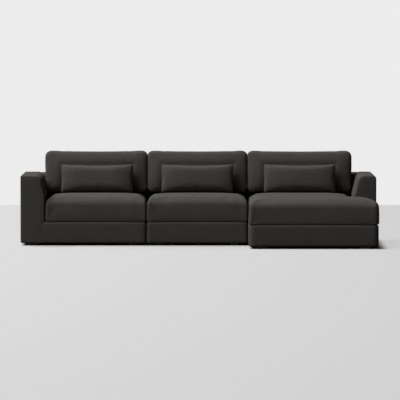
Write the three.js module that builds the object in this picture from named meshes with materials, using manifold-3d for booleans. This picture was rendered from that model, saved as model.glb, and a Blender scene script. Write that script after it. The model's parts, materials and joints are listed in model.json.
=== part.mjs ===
import * as THREE from 'three';
import { mergeVertices } from 'three/addons/utils/BufferGeometryUtils.js';
import Module from 'manifold-3d';

// A three-module sectional sofa whose right-hand module is a chaise, in millimetres.
// X runs to the right of a person who faces the sofa, Y runs to its back and Z runs up.
// Each module is an upholstered wooden base with a back, an arm on the two outer modules,
// a loose seat cushion, a loose back cushion and a lumbar pillow.

const wasm = await Module();
wasm.setup();

// Plan sizes
const leftModuleWidth = 1240;
const middleModuleWidth = 1000;
const chaiseModuleWidth = 1260;
const moduleDepth = 1020;
const chaiseExtension = 600;
const moduleGap = 4;

// Heights above the floor
const footHeight = 32;
const baseTop = 236;
const armTop = 686;
const armKinkHeight = 480;

// Arms and back, measured from their outer faces
const leftArmTopWidth = 203;
const leftArmSeatWidth = 238;
const rightArmTopWidth = 188;
const rightArmSeatWidth = 220;
const backTopThickness = 132;
const backSeatThickness = 178;

// Padding under the cover cloth, and the rounding of the padded edges
const padding = 22;
const skinPadding = 10;
const armEdgeRounding = 14;
const armOuterShoulder = 26;
const armInnerShoulder = 34;
const baseEdgeRounding = 12;
const baseCornerRadius = 40;
const chaiseCornerRadius = 55;
const baseFirmCornerRadius = 24;

// Wooden frames
const railThickness = 24;
const boardThickness = 12;
const bearerWidth = 90;
const stretcherDrop = 60;
const footBlockHeight = 40;
const footBlockMargin = 18;

// Suspension, deck and dust cover
const strapWidth = 60;
const strapThickness = 2;
const strapSpacing = 170;
const strapEndMargin = 6;
const deckRim = 62;
const deckLip = 24;
const dustCoverThickness = 1.5;

// Feet
const footWidth = 104;
const footFootprint = 96;
const footChamfer = 8;
const footSideInset = 130;
const footFrontInset = 105;
const footStudRadius = 5;
const footStudLength = 34;

// Connectors that lock two modules together under the base
const connectorPlateLength = 56;
const connectorPlateWidth = 60;
const connectorPlateThickness = 3;
const connectorReach = 36;
const connectorPinPlace = 20;
const connectorPinRadius = 6;
const connectorPinLength = 12;
const connectorFrontInset = 200;
const connectorBackInset = 170;

// Seat cushions
const seatEdgeHeight = 180;
const seatEdgeDrop = 60;
const seatEdgeReach = 50;
const seatCrown = 20;
const seatCrownReach = 280;
const seatCornerRadius = 34;
const seatNotchRadius = 6;
const seatBottomRadius = 14;
const seatSeamDraw = 6;
const seatSideDraw = 5;
const seatSideGap = 4;

// Back cushions
const backCushionHeight = 415;
const backCushionThickness = 150;
const backCushionCrown = 24;
const backCushionCrownReach = 190;
const backCushionEdge = 42;
const backCushionRearRadius = 22;
const backCushionCornerRadius = 50;
const backCushionTopSag = 9;
const backCushionSideDraw = 3;
const leftArmCushionGap = 11;
const rightArmCushionGap = 26;

// Lumbar pillows
const pillowWidth = 716;
const pillowHeight = 288;
const pillowThickness = 128;
const pillowTopSag = 13;
const pillowSideDraw = 9;
const pillowLean = THREE.MathUtils.degToRad(16);

// Clearances
const contactGap = 0.3;
const cushionGap = 2.5;
const settleReach = 260;
const overrun = 40;

// Smoothness of the curves
const curveSegments = 4;
const bevelSegments = 3;
const rodSides = 10;
const ringCornerSteps = 4;
const ringSideSteps = 6;
const pillowStepsAcross = 14;
const pillowStepsUp = 8;
const settleSteps = 20;

// How a crown and a pillow's stuffing fall away towards the seams
const crownFallPower = 2.5;
const pillowFullness = 4;
const pillowEdgePower = 0.6;
const leastRadiusShare = 0.25;

const palette = {
  upholstery: { color: 0x3d3b39, roughness: 0.92, metalness: 0 },
  deckCloth: { color: 0x2b2a29, roughness: 0.95, metalness: 0 },
  webbing: { color: 0x4a4038, roughness: 0.9, metalness: 0 },
  dustCloth: { color: 0x1d1c1c, roughness: 0.97, metalness: 0 },
  timber: { color: 0xb48b5c, roughness: 0.7, metalness: 0 },
  plastic: { color: 0x151515, roughness: 0.55, metalness: 0 },
  steel: { color: 0x8f9294, roughness: 0.4, metalness: 1 },
};

const baseBottom = footHeight;
const skinBottom = baseTop - skinPadding;
const frameBottom = baseBottom + dustCoverThickness + contactGap;
const frameTop = skinBottom - strapThickness - 2 * contactGap;
const backSlope = (backSeatThickness - backTopThickness) / (armTop - armKinkHeight);

const alongY = new THREE.Matrix4().makeBasis(
  new THREE.Vector3(1, 0, 0), new THREE.Vector3(0, 0, 1), new THREE.Vector3(0, -1, 0));
const alongX = new THREE.Matrix4().makeBasis(
  new THREE.Vector3(0, 1, 0), new THREE.Vector3(0, 0, 1), new THREE.Vector3(1, 0, 0));

// Turns a closed geometry into a solid that can be joined and cut
function toSolid(geometry) {
  const bare = geometry.clone();
  bare.deleteAttribute('normal');
  bare.deleteAttribute('uv');
  const merged = mergeVertices(bare);
  const mesh = new wasm.Mesh({
    numProp: 3,
    vertProperties: new Float32Array(merged.attributes.position.array),
    triVerts: new Uint32Array(merged.index.array),
  });
  return new wasm.Manifold(mesh);
}

function toGeometry(solid) {
  const mesh = solid.getMesh();
  const geometry = new THREE.BufferGeometry();
  geometry.setAttribute('position', new THREE.BufferAttribute(mesh.vertProperties, 3));
  geometry.setIndex(new THREE.BufferAttribute(mesh.triVerts, 1));
  geometry.computeVertexNormals();
  return geometry;
}

function join(geometries) {
  return geometries.map(toSolid).reduce((whole, piece) => whole.add(piece));
}

function cut(solid, geometries) {
  return geometries.map(toSolid).reduce((rest, tool) => rest.subtract(tool), solid);
}

function box(x, y, z) {
  const geometry = new THREE.BoxGeometry(x[1] - x[0], y[1] - y[0], z[1] - z[0]);
  return geometry.translate((x[0] + x[1]) / 2, (y[0] + y[1]) / 2, (z[0] + z[1]) / 2);
}

function rod(radius, x, y, z) {
  const geometry = new THREE.CylinderGeometry(radius, radius, z[1] - z[0], rodSides);
  return geometry.rotateX(Math.PI / 2).translate(x, y, (z[0] + z[1]) / 2);
}

// Extrudes a shape, with its edges rounded inwards at both ends
function extrude(shape, near, far, rounding) {
  const geometry = new THREE.ExtrudeGeometry(shape, {
    depth: far - near - 2 * rounding,
    steps: 1,
    curveSegments,
    bevelEnabled: rounding > 0,
    bevelThickness: rounding,
    bevelSize: rounding,
    bevelOffset: -rounding,
    bevelSegments,
  });
  return geometry.translate(0, 0, rounding);
}

function extrudeUp(shape, bottom, top, rounding) {
  return extrude(shape, bottom, top, rounding).translate(0, 0, bottom);
}

function extrudeBackwards(shape, front, back, rounding) {
  return extrude(shape, front, back, rounding).applyMatrix4(alongY).translate(0, back, 0);
}

function extrudeSideways(shape, left, right, rounding) {
  return extrude(shape, left, right, rounding).applyMatrix4(alongX).translate(left, 0, 0);
}

// Works out the places that the pieces of one module share, in the module's own frame
function moduleLayout(spec) {
  const { width, arm, extension } = spec;
  const onLeft = arm && arm.side === 'left';
  const onRight = arm && arm.side === 'right';
  const left = spec.joinedLeft ? moduleGap / 2 : 0;
  const right = spec.joinedRight ? width - moduleGap / 2 : width;
  return {
    ...spec,
    left,
    right,
    front: -extension,
    back: moduleDepth,
    innerLeft: onLeft ? arm.seatWidth : left,
    innerRight: onRight ? width - arm.seatWidth : right,
    innerBack: moduleDepth - backSeatThickness,
    deckLeft: onLeft ? arm.seatWidth + deckLip : left + deckRim,
    deckRight: onRight ? width - arm.seatWidth - deckLip : right - deckRim,
    deckFront: deckRim - extension,
    deckBack: moduleDepth - backSeatThickness - deckLip,
    onLeft,
    onRight,
    fromOuter: (distance) => (onLeft ? distance : width - distance),
  };
}

// Rounded rectangle in plan, with a radius of its own at each corner
function planShape(x, y, radii) {
  const shape = new THREE.Shape();
  shape.moveTo(x[0] + radii.frontLeft, y[0]);
  shape.lineTo(x[1] - radii.frontRight, y[0]);
  shape.quadraticCurveTo(x[1], y[0], x[1], y[0] + radii.frontRight);
  shape.lineTo(x[1], y[1] - radii.rearRight);
  shape.quadraticCurveTo(x[1], y[1], x[1] - radii.rearRight, y[1]);
  shape.lineTo(x[0] + radii.rearLeft, y[1]);
  shape.quadraticCurveTo(x[0], y[1], x[0], y[1] - radii.rearLeft);
  shape.lineTo(x[0], y[0] + radii.frontLeft);
  shape.quadraticCurveTo(x[0], y[0], x[0] + radii.frontLeft, y[0]);
  return shape;
}

// Section of a padded wall: plumb outside, plumb inside up to the kink and then leaning away
// from the seat. place() turns a distance from the outer face into a coordinate.
function wallShape(place, topWidth, seatWidth, inset, bottom, shoulders) {
  const top = armTop - inset;
  const lean = new THREE.Vector2(seatWidth - topWidth, armKinkHeight - armTop).normalize();
  const shape = new THREE.Shape();
  shape.moveTo(place(inset), bottom);
  if (shoulders) {
    const { outer, inner } = shoulders;
    const crest = topWidth - inset;
    shape.lineTo(place(inset), top - outer);
    shape.quadraticCurveTo(place(inset), top, place(inset + outer), top);
    shape.lineTo(place(crest - inner), top);
    shape.quadraticCurveTo(place(crest), top, place(crest + lean.x * inner), top + lean.y * inner);
  } else {
    shape.lineTo(place(inset), top);
    shape.lineTo(place(topWidth - inset), top);
  }
  shape.lineTo(place(seatWidth - inset), armKinkHeight);
  shape.lineTo(place(seatWidth - inset), bottom);
  return shape;
}

const shoulders = { outer: armOuterShoulder, inner: armInnerShoulder };

function armSection(module, inset, bottom, rounded) {
  const { topWidth, seatWidth } = module.arm;
  return wallShape(module.fromOuter, topWidth, seatWidth, inset, bottom, rounded ? shoulders : null);
}

function backSection(inset, bottom, rounded) {
  const place = (distance) => moduleDepth - distance;
  const round = rounded ? shoulders : null;
  return wallShape(place, backTopThickness, backSeatThickness, inset, bottom, round);
}

// Whole padded arm, carried down to a given height
function armBody(module, bottom) {
  const body = extrudeBackwards(
    armSection(module, 0, bottom - overrun, true), 0, moduleDepth, armEdgeRounding);
  const below = box([-overrun, module.width + overrun], [-overrun, moduleDepth + overrun],
    [bottom - 2 * overrun, bottom]);
  return cut(toSolid(body), [below]);
}

// Space of the arm and of what lies beyond it, grown by the contact gap
function armSpace(module) {
  const { topWidth, seatWidth } = module.arm;
  const rise = armTop - armKinkHeight;
  const share = (rise + overrun) / rise;
  const shape = new THREE.Shape();
  const place = (distance) => module.fromOuter(distance + contactGap);
  shape.moveTo(place(-overrun), baseTop - overrun);
  shape.lineTo(place(seatWidth), baseTop - overrun);
  shape.lineTo(place(seatWidth), armKinkHeight);
  shape.lineTo(place(seatWidth + (topWidth - seatWidth) * share), armTop + overrun);
  shape.lineTo(place(-overrun), armTop + overrun);
  return extrudeBackwards(shape, -overrun, moduleDepth + overrun, 0);
}

function armFootprint(module, margin) {
  const outer = module.fromOuter(padding + margin);
  const inner = module.fromOuter(module.arm.seatWidth - padding - margin);
  return {
    x: [Math.min(outer, inner), Math.max(outer, inner)],
    y: [padding + margin, moduleDepth - padding - margin],
  };
}

function backFootprint(module, margin) {
  return {
    x: [module.innerLeft + padding + margin, module.innerRight - padding - margin],
    y: [module.innerBack + padding + margin, module.back - padding - margin],
  };
}

// Padded cover of the base: walls all round and a skin on top with openings for the deck
// and for the feet of the arm and back frames
function baseCover(module) {
  const radii = {
    frontLeft: module.onLeft ? baseFirmCornerRadius : module.cornerRadius,
    frontRight: module.cornerRadius,
    rearLeft: baseFirmCornerRadius,
    rearRight: baseFirmCornerRadius,
  };
  const outline = planShape([module.left, module.right], [module.front, module.back], radii);
  let body = toSolid(extrudeUp(outline, baseBottom, baseTop, baseEdgeRounding));
  const through = [skinBottom - overrun, baseTop + overrun];
  const openings = [
    box([module.left + padding, module.right - padding],
      [module.front + padding, module.back - padding], [baseBottom - overrun, skinBottom]),
    box([module.deckLeft, module.deckRight], [module.deckFront, module.deckBack], through),
  ];
  if (module.arm) {
    const above = box([-overrun, module.width + overrun], [-overrun, moduleDepth + overrun],
      [baseTop, armTop + overrun]);
    const taller = extrudeUp(outline, baseBottom, baseTop + overrun, baseEdgeRounding);
    const plinth = armBody(module, baseBottom).intersect(toSolid(taller));
    body = body.add(cut(plinth, [above]));
    const foot = armFootprint(module, 0);
    openings.push(box(foot.x, foot.y, through));
  }
  const foot = backFootprint(module, 0);
  openings.push(box(foot.x, foot.y, through));
  return cut(body, openings);
}

function footPlaces(module) {
  const xs = [module.left + footSideInset, module.right - footSideInset];
  const ys = [module.front + footFrontInset, module.back - footFrontInset];
  if (module.extension > 0) {
    ys.splice(1, 0, (ys[0] + ys[1]) / 2);
  }
  return ys.flatMap((y) => xs.map((x) => ({ x, y })));
}

// Ring of rails with bearers under the arm and back, a lowered stretcher and foot blocks
function seatFrame(module) {
  const x = [module.left + padding + contactGap, module.right - padding - contactGap];
  const y = [module.front + padding + contactGap, module.back - padding - contactGap];
  const full = [frameBottom, frameTop];
  const board = [frameTop - railThickness, frameTop];
  const middle = (x[0] + x[1]) / 2;
  const pieces = [
    box([x[0], x[0] + railThickness], y, full),
    box([x[1] - railThickness, x[1]], y, full),
    box(x, [y[0], y[0] + railThickness], full),
    box(x, [y[1] - railThickness, y[1]], full),
    box([middle - railThickness / 2, middle + railThickness / 2], y,
      [frameBottom, frameTop - stretcherDrop]),
    box(x, [module.innerBack + deckLip - bearerWidth / 2, module.innerBack + deckLip + bearerWidth / 2],
      board),
  ];
  if (module.arm) {
    const inner = module.fromOuter(module.arm.seatWidth);
    pieces.push(box([inner - bearerWidth / 2, inner + bearerWidth / 2], y, board));
  }
  if (module.extension > 0) {
    const half = railThickness / 2;
    const height = [frameBottom, frameTop - stretcherDrop];
    const crossing = footPlaces(module)[2].y;
    pieces.push(box(x, [crossing - half, crossing + half], height));
  }
  const reach = footWidth / 2 + footBlockMargin;
  const bores = [];
  footPlaces(module).forEach((place) => {
    const blockX = place.x < middle ? [x[0], place.x + reach] : [place.x - reach, x[1]];
    const blockY = [Math.max(place.y - reach, y[0]), Math.min(place.y + reach, y[1])];
    pieces.push(box(blockX, blockY, [frameBottom, frameBottom + footBlockHeight]));
    bores.push(rod(footStudRadius + contactGap, place.x, place.y,
      [frameBottom - overrun, frameBottom + footBlockHeight + overrun]));
  });
  return cut(join(pieces), bores);
}

// Flat lattice on a grid of breaks in X and Y: a cell is filled where filled() says so, and a
// wall closes each edge between a filled cell and an empty one
function latticeGeometry(xs, ys, filled, bottom, top) {
  const positions = [];
  const quad = (...corners) => {
    const [a, b, c, d] = corners;
    positions.push(...a, ...b, ...c, ...a, ...c, ...d);
  };
  const isFilled = (column, row) => (
    column >= 0 && row >= 0 && column + 1 < xs.length && row + 1 < ys.length && filled(column, row));
  for (let column = 0; column + 1 < xs.length; column += 1) {
    for (let row = 0; row + 1 < ys.length; row += 1) {
      if (!isFilled(column, row)) {
        continue;
      }
      const [x0, x1, y0, y1] = [xs[column], xs[column + 1], ys[row], ys[row + 1]];
      quad([x0, y0, top], [x1, y0, top], [x1, y1, top], [x0, y1, top]);
      quad([x0, y0, bottom], [x0, y1, bottom], [x1, y1, bottom], [x1, y0, bottom]);
      const walls = [
        [column, row - 1, [x0, y0], [x1, y0]],
        [column + 1, row, [x1, y0], [x1, y1]],
        [column, row + 1, [x1, y1], [x0, y1]],
        [column - 1, row, [x0, y1], [x0, y0]],
      ];
      walls.forEach(([nextColumn, nextRow, from, to]) => {
        if (!isFilled(nextColumn, nextRow)) {
          quad([...from, bottom], [...to, bottom], [...to, top], [...from, top]);
        }
      });
    }
  }
  const geometry = new THREE.BufferGeometry();
  geometry.setAttribute('position', new THREE.Float32BufferAttribute(positions, 3));
  return geometry;
}

// Lattice of straps that carries the deck between the rails
function webbing(module) {
  const x = [
    module.onLeft ? module.arm.seatWidth - padding + contactGap : module.left + padding + strapEndMargin,
    module.onRight ? module.width - module.arm.seatWidth + padding - contactGap
      : module.right - padding - strapEndMargin,
  ];
  const y = [module.front + padding + strapEndMargin, module.innerBack + padding - contactGap];
  const breaks = (ends, from, to) => {
    const count = Math.round((to - from) / strapSpacing);
    const pitch = (to - from - strapWidth) / (count - 1);
    const starts = Array.from({ length: count }, (_, index) => from + index * pitch);
    return [ends[0], ...starts.flatMap((start) => [start, start + strapWidth]), ends[1]];
  };
  const onStrap = (cell) => cell % 2 === 1;
  const bottom = frameTop + contactGap;
  return toSolid(latticeGeometry(
    breaks(x, module.deckLeft, module.deckRight),
    breaks(y, module.deckFront, module.deckBack),
    (column, row) => onStrap(column) || onStrap(row),
    bottom,
    bottom + strapThickness));
}

function deckPanel(module) {
  return toSolid(box(
    [module.deckLeft + contactGap, module.deckRight - contactGap],
    [module.deckFront + contactGap, module.deckBack - contactGap],
    [frameTop + strapThickness + 2 * contactGap, baseTop]));
}

function dustCover(module) {
  const margin = padding + contactGap;
  const sheet = box([module.left + margin, module.right - margin],
    [module.front + margin, module.back - margin], [baseBottom, baseBottom + dustCoverThickness]);
  const holes = footPlaces(module).map((place) => rod(footStudRadius + contactGap, place.x, place.y,
    [baseBottom - overrun, baseBottom + overrun]));
  return cut(toSolid(sheet), holes);
}

function armCover(module) {
  const cavity = extrudeBackwards(armSection(module, padding, baseTop - overrun, false),
    padding, moduleDepth - padding, 0);
  return cut(armBody(module, baseTop + contactGap), [cavity]);
}

// Three shaped ribs joined by an outer board, a top board and a sill
function armFrame(module) {
  const { arm } = module;
  const inset = padding + contactGap;
  const bottom = frameTop + contactGap;
  const top = armTop - inset;
  const foot = armFootprint(module, contactGap);
  const section = armSection(module, inset, bottom, false);
  const middle = (foot.y[0] + foot.y[1]) / 2;
  const starts = [foot.y[0], middle - railThickness / 2, foot.y[1] - railThickness];
  const ribs = starts.map((y) => extrudeBackwards(section, y, y + railThickness, 0));
  const span = (from, to) => {
    const ends = [module.fromOuter(from), module.fromOuter(to)];
    return [Math.min(...ends), Math.max(...ends)];
  };
  return join([
    ...ribs,
    box(span(inset, inset + boardThickness), foot.y, [bottom, top]),
    box(span(inset, arm.topWidth - inset), foot.y, [top - boardThickness, top]),
    box(foot.x, foot.y, [bottom, bottom + railThickness]),
  ]);
}

// Padded cover of the back, ended where it meets the leaning face of the arm
function backCover(module) {
  const start = module.onLeft ? module.arm.topWidth / 2 : module.left;
  const end = module.onRight ? module.width - module.arm.topWidth / 2 : module.right;
  const body = toSolid(extrudeSideways(
    backSection(0, baseTop - overrun, true), start, end, armEdgeRounding));
  const foot = backFootprint(module, 0);
  const tools = [
    box([-overrun, module.width + overrun], [0, moduleDepth + overrun],
      [baseTop - 2 * overrun, baseTop + contactGap]),
    extrudeSideways(backSection(padding, baseTop - overrun, false), foot.x[0], foot.x[1], 0),
  ];
  if (module.arm) {
    tools.push(armSpace(module));
  }
  return cut(body, tools);
}

// Shaped posts joined by a top rail, a middle rail and a sill
function backFrame(module) {
  const inset = padding + contactGap;
  const bottom = frameTop + contactGap;
  const top = armTop - inset;
  const foot = backFootprint(module, contactGap);
  const section = backSection(inset, bottom, false);
  const middle = (foot.x[0] + foot.x[1]) / 2;
  const starts = [foot.x[0], middle - railThickness / 2, foot.x[1] - railThickness];
  const posts = starts.map((x) => extrudeSideways(section, x, x + railThickness, 0));
  const crest = [moduleDepth - backTopThickness + inset, moduleDepth - inset];
  const halfway = (bottom + top) / 2;
  return join([
    ...posts,
    box(foot.x, crest, [top - railThickness, top]),
    box(foot.x, [crest[1] - railThickness, crest[1]], [halfway - railThickness, halfway + railThickness]),
    box(foot.x, foot.y, [bottom, bottom + railThickness]),
  ]);
}

// Low tapered block with the stud that holds it in the foot block of the frame
function foot() {
  const top = footHeight - contactGap;
  const half = footWidth / 2;
  const section = [
    [half - footChamfer, half], [half, half - footChamfer],
    [half, footChamfer - half], [half - footChamfer, -half],
    [footChamfer - half, -half], [-half, footChamfer - half],
    [-half, half - footChamfer], [footChamfer - half, half],
  ].reverse().map(([x, y]) => new THREE.Vector2(x, y));
  const block = extrudeUp(new THREE.Shape(section), 0, top, 0);
  const taper = footFootprint / footWidth;
  const position = block.attributes.position;
  for (let index = 0; index < position.count; index += 1) {
    if (position.getZ(index) < top / 2) {
      position.setXY(index, position.getX(index) * taper, position.getY(index) * taper);
    }
  }
  const stud = rod(footStudRadius, 0, 0, [top / 2, top + footStudLength]);
  return join([block, stud]);
}

// One ring of a cushion: its plan outline moved inwards, with rounded corners and with each
// side drawn in between its corners
function ring(corners, inset) {
  const points = [];
  corners.forEach((corner, index) => {
    const before = corners[(index + corners.length - 1) % corners.length];
    const after = corners[(index + 1) % corners.length];
    const arriving = new THREE.Vector2(corner.x - before.x, corner.y - before.y).normalize();
    const leaving = new THREE.Vector2(after.x - corner.x, after.y - corner.y).normalize();
    const inwards = new THREE.Vector2(-arriving.y, arriving.x);
    const turn = Math.sign(arriving.cross(leaving));
    const radius = Math.max(corner.radius - turn * inset, corner.radius * leastRadiusShare);
    const tip = new THREE.Vector2(corner.x, corner.y)
      .addScaledVector(inwards, inset)
      .addScaledVector(new THREE.Vector2(-leaving.y, leaving.x), inset);
    const start = tip.clone().addScaledVector(arriving, -radius);
    const centre = start.clone().addScaledVector(inwards, turn * radius);
    const spoke = start.clone().sub(centre);
    for (let step = 0; step <= ringCornerSteps; step += 1) {
      const angle = (Math.PI / 2) * (step / ringCornerSteps);
      points.push(centre.clone()
        .addScaledVector(spoke, Math.cos(angle))
        .addScaledVector(arriving, radius * Math.sin(angle)));
    }
    points.push({ gap: true, draw: corner.draw, inwards: new THREE.Vector2(-leaving.y, leaving.x) });
  });
  const outline = [];
  points.forEach((point, index) => {
    if (!point.gap) {
      outline.push(point);
      return;
    }
    const from = points[index - 1];
    const to = points[(index + 1) % points.length];
    for (let step = 1; step < ringSideSteps; step += 1) {
      const share = step / ringSideSteps;
      const away = 2 * share - 1;
      const place = from.clone().lerp(to, share);
      outline.push(place.addScaledVector(point.inwards, point.draw * (1 - away * away)));
    }
  });
  return outline;
}

// Closes a stack of rings, given from the lowest to the highest, with a cap at each end
function closeRings(rings) {
  const count = rings[0].length;
  const positions = rings.flatMap((level) => level.flatMap((point) => [point.x, point.y, point.z]));
  const indices = [];
  for (let level = 0; level + 1 < rings.length; level += 1) {
    for (let index = 0; index < count; index += 1) {
      const next = (index + 1) % count;
      const low = level * count;
      const high = low + count;
      indices.push(low + index, low + next, high + next);
      indices.push(low + index, high + next, high + index);
    }
  }
  const flat = (level) => level.map((point) => new THREE.Vector2(point.x, point.y));
  const top = (rings.length - 1) * count;
  THREE.ShapeUtils.triangulateShape(flat(rings[0]), []).forEach(([a, b, c]) => {
    indices.push(a, c, b);
  });
  THREE.ShapeUtils.triangulateShape(flat(rings[rings.length - 1]), []).forEach(([a, b, c]) => {
    indices.push(top + a, top + b, top + c);
  });
  const geometry = new THREE.BufferGeometry();
  geometry.setAttribute('position', new THREE.Float32BufferAttribute(positions, 3));
  geometry.setIndex(indices);
  return geometry;
}

// Share of the crown that a place has, from none at the edge to all of it past the crown's reach
function crownShare(corners, x, y, reach) {
  const place = new THREE.Vector3(x, y, 0);
  const nearest = new THREE.Vector3();
  return corners.reduce((share, corner, index) => {
    const after = corners[(index + 1) % corners.length];
    const side = new THREE.Line3(
      new THREE.Vector3(corner.x, corner.y, 0), new THREE.Vector3(after.x, after.y, 0));
    const distance = side.closestPointToPoint(place, true, nearest).distanceTo(place);
    return share * (1 - (1 - Math.min(distance / reach, 1)) ** crownFallPower);
  }, 1);
}

// Boxed cushion: rounded lower edge, walls that swell between the seams, a soft upper edge and a crown
function boxedCushion(corners, form) {
  const { lowerRadius, edgeHeight, edgeDrop, edgeReach, crown, crownReach, seamDraw } = form;
  const swell = (height) => seamDraw * (1 - Math.sin(Math.PI * Math.min(height / edgeHeight, 1)));
  const levels = [];
  const lowerShares = [0, 0.5, 1];
  lowerShares.forEach((share) => {
    const angle = (Math.PI / 2) * share;
    const height = lowerRadius * (1 - Math.cos(angle));
    levels.push({ inset: lowerRadius * (1 - Math.sin(angle)) + swell(height), height });
  });
  const wallShares = [0.35, 0.7];
  wallShares.forEach((share) => {
    const height = lowerRadius + (edgeHeight - lowerRadius) * share;
    levels.push({ inset: swell(height), height });
  });
  const upperShares = [0, 0.25, 0.5, 0.75, 1];
  upperShares.forEach((share) => {
    const angle = (Math.PI / 2) * share;
    levels.push({
      inset: edgeReach * (1 - Math.cos(angle)) + seamDraw,
      height: edgeHeight + edgeDrop * Math.sin(angle),
      crowned: true,
    });
  });
  const crownShares = [0.16, 0.42, 0.75];
  crownShares.forEach((share) => {
    levels.push({
      inset: edgeReach + seamDraw + (crownReach - edgeReach) * share,
      height: edgeHeight + edgeDrop,
      crowned: true,
    });
  });
  const rings = levels.map((level) => ring(corners, level.inset).map((point) => {
    const rise = level.crowned ? crown * crownShare(corners, point.x, point.y, crownReach) : 0;
    return new THREE.Vector3(point.x, point.y, level.height + rise);
  }));
  return closeRings(rings);
}

// Seat cushion: it fills the space between the arm, the back and the front edge of the base,
// and on the chaise it widens in front of the arm
function seatCushion(module) {
  const x = [module.innerLeft + cushionGap, module.innerRight - cushionGap];
  const y = [module.front, module.innerBack - cushionGap];
  if (module.onLeft) {
    x[0] += seatSideGap - cushionGap;
  }
  if (module.onRight) {
    x[1] -= seatSideGap - cushionGap;
  }
  const corner = (px, py, radius = seatCornerRadius) => (
    { x: px, y: py, radius, draw: seatSideDraw });
  const corners = [corner(x[0], y[0]), corner(x[1], y[1]), corner(x[0], y[1])];
  if (module.extension > 0) {
    corners.splice(1, 0, corner(module.right, y[0]), corner(module.right, -seatSideGap),
      corner(x[1], -seatSideGap, seatNotchRadius));
  } else {
    corners.splice(1, 0, corner(x[1], y[0]));
  }
  const geometry = boxedCushion(corners, {
    lowerRadius: seatBottomRadius,
    edgeHeight: seatEdgeHeight,
    edgeDrop: seatEdgeDrop,
    edgeReach: seatEdgeReach,
    crown: seatCrown,
    crownReach: seatCrownReach,
    seamDraw: seatSeamDraw,
  });
  return geometry.translate(0, 0, baseTop + contactGap);
}

// Moves a piece the same way until it is stopped by what carries it, less the contact gap
function settle(geometry, carriers, direction) {
  let clear = 0;
  let stopped = settleReach;
  for (let step = 0; step < settleSteps; step += 1) {
    const travel = (clear + stopped) / 2;
    const moved = geometry.clone().translate(
      direction.x * travel, direction.y * travel, direction.z * travel);
    const solid = toSolid(moved);
    const touches = carriers.some((carrier) => !solid.intersect(carrier).isEmpty());
    if (touches) {
      stopped = travel;
    } else {
      clear = travel;
    }
  }
  const travel = clear - contactGap;
  return geometry.translate(direction.x * travel, direction.y * travel, direction.z * travel);
}

const down = new THREE.Vector3(0, 0, -1);
const backwards = new THREE.Vector3(0, 1, 0);
const downTheBack = new THREE.Vector3(0, -backSlope, -1).normalize();

// Back cushion: it stands on the seat cushion, leans on the back and is pressed flat by the arm
function backCushion(module, seat, back) {
  const x = [
    module.onLeft ? module.arm.topWidth + module.arm.cushionGap : module.left + cushionGap,
    module.onRight ? module.width - module.arm.topWidth - module.arm.cushionGap
      : module.right - cushionGap,
  ];
  const corner = (px, py, draw) => ({ x: px, y: py, radius: backCushionCornerRadius, draw });
  const corners = [
    corner(x[0], 0, 0),
    corner(x[1], 0, backCushionSideDraw),
    corner(x[1], backCushionHeight, backCushionTopSag),
    corner(x[0], backCushionHeight, backCushionSideDraw),
  ];
  const geometry = boxedCushion(corners, {
    lowerRadius: backCushionRearRadius,
    edgeHeight: backCushionThickness - backCushionEdge,
    edgeDrop: backCushionEdge,
    edgeReach: backCushionEdge,
    crown: backCushionCrown,
    crownReach: backCushionCrownReach,
    seamDraw: 0,
  });
  const upright = new THREE.Matrix4().makeBasis(
    new THREE.Vector3(1, 0, 0), new THREE.Vector3(0, backSlope, 1), new THREE.Vector3(0, -1, 0));
  geometry.applyMatrix4(upright);
  const raised = baseTop + seatEdgeHeight + seatEdgeDrop + seatCrown + overrun;
  geometry.translate(0, module.innerBack - overrun, raised);
  settle(geometry, [back], backwards);
  settle(geometry, [seat], downTheBack);
  if (!module.arm) {
    return toSolid(geometry);
  }
  return cut(toSolid(geometry), [armSpace(module)]);
}

// Lumbar pillow: two crowned faces that meet in one seam, with drawn-in sides and sharp corners
function pillowGeometry() {
  const across = pillowStepsAcross;
  const up = pillowStepsUp;
  const spread = (share) => Math.sin((share - 1 / 2) * Math.PI);
  const swell = (value) => (1 - value ** pillowFullness) ** pillowEdgePower;
  const point = (column, row, face) => {
    const u = spread(column / across);
    const v = spread(row / up);
    const side = pillowWidth / 2 - pillowSideDraw * (1 - v * v);
    const sag = v > 0 ? pillowTopSag * (1 - u * u) * v : 0;
    const thickness = (pillowThickness / 2) * swell(u) * swell(v);
    return [u * side, (v * pillowHeight) / 2 - sag, face * thickness];
  };
  const positions = [];
  const indices = [];
  [-1, 1].forEach((face, layer) => {
    const first = layer * (across + 1) * (up + 1);
    for (let row = 0; row <= up; row += 1) {
      for (let column = 0; column <= across; column += 1) {
        positions.push(...point(column, row, face));
      }
    }
    for (let row = 0; row < up; row += 1) {
      for (let column = 0; column < across; column += 1) {
        const a = first + row * (across + 1) + column;
        const b = a + 1;
        const c = b + across + 1;
        const d = a + across + 1;
        if (face > 0) {
          indices.push(a, b, c, a, c, d);
        } else {
          indices.push(a, c, b, a, d, c);
        }
      }
    }
  });
  const geometry = new THREE.BufferGeometry();
  geometry.setAttribute('position', new THREE.Float32BufferAttribute(positions, 3));
  geometry.setIndex(indices);
  return geometry.applyMatrix4(alongY);
}

function lumbarPillow(module, seat, backRest) {
  const geometry = pillowGeometry();
  geometry.rotateX(-pillowLean);
  geometry.computeBoundingBox();
  const seatTop = baseTop + seatEdgeHeight + seatEdgeDrop + seatCrown;
  const middle = (module.innerLeft + module.innerRight) / 2;
  const front = module.innerBack - backCushionThickness - backCushionCrown - pillowThickness;
  geometry.translate(middle, front - overrun, seatTop + pillowHeight / 2 + overrun);
  settle(geometry, [seat], down);
  settle(geometry, [seat, backRest], backwards);
  settle(geometry, [seat, backRest], down);
  return toSolid(geometry);
}

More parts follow.
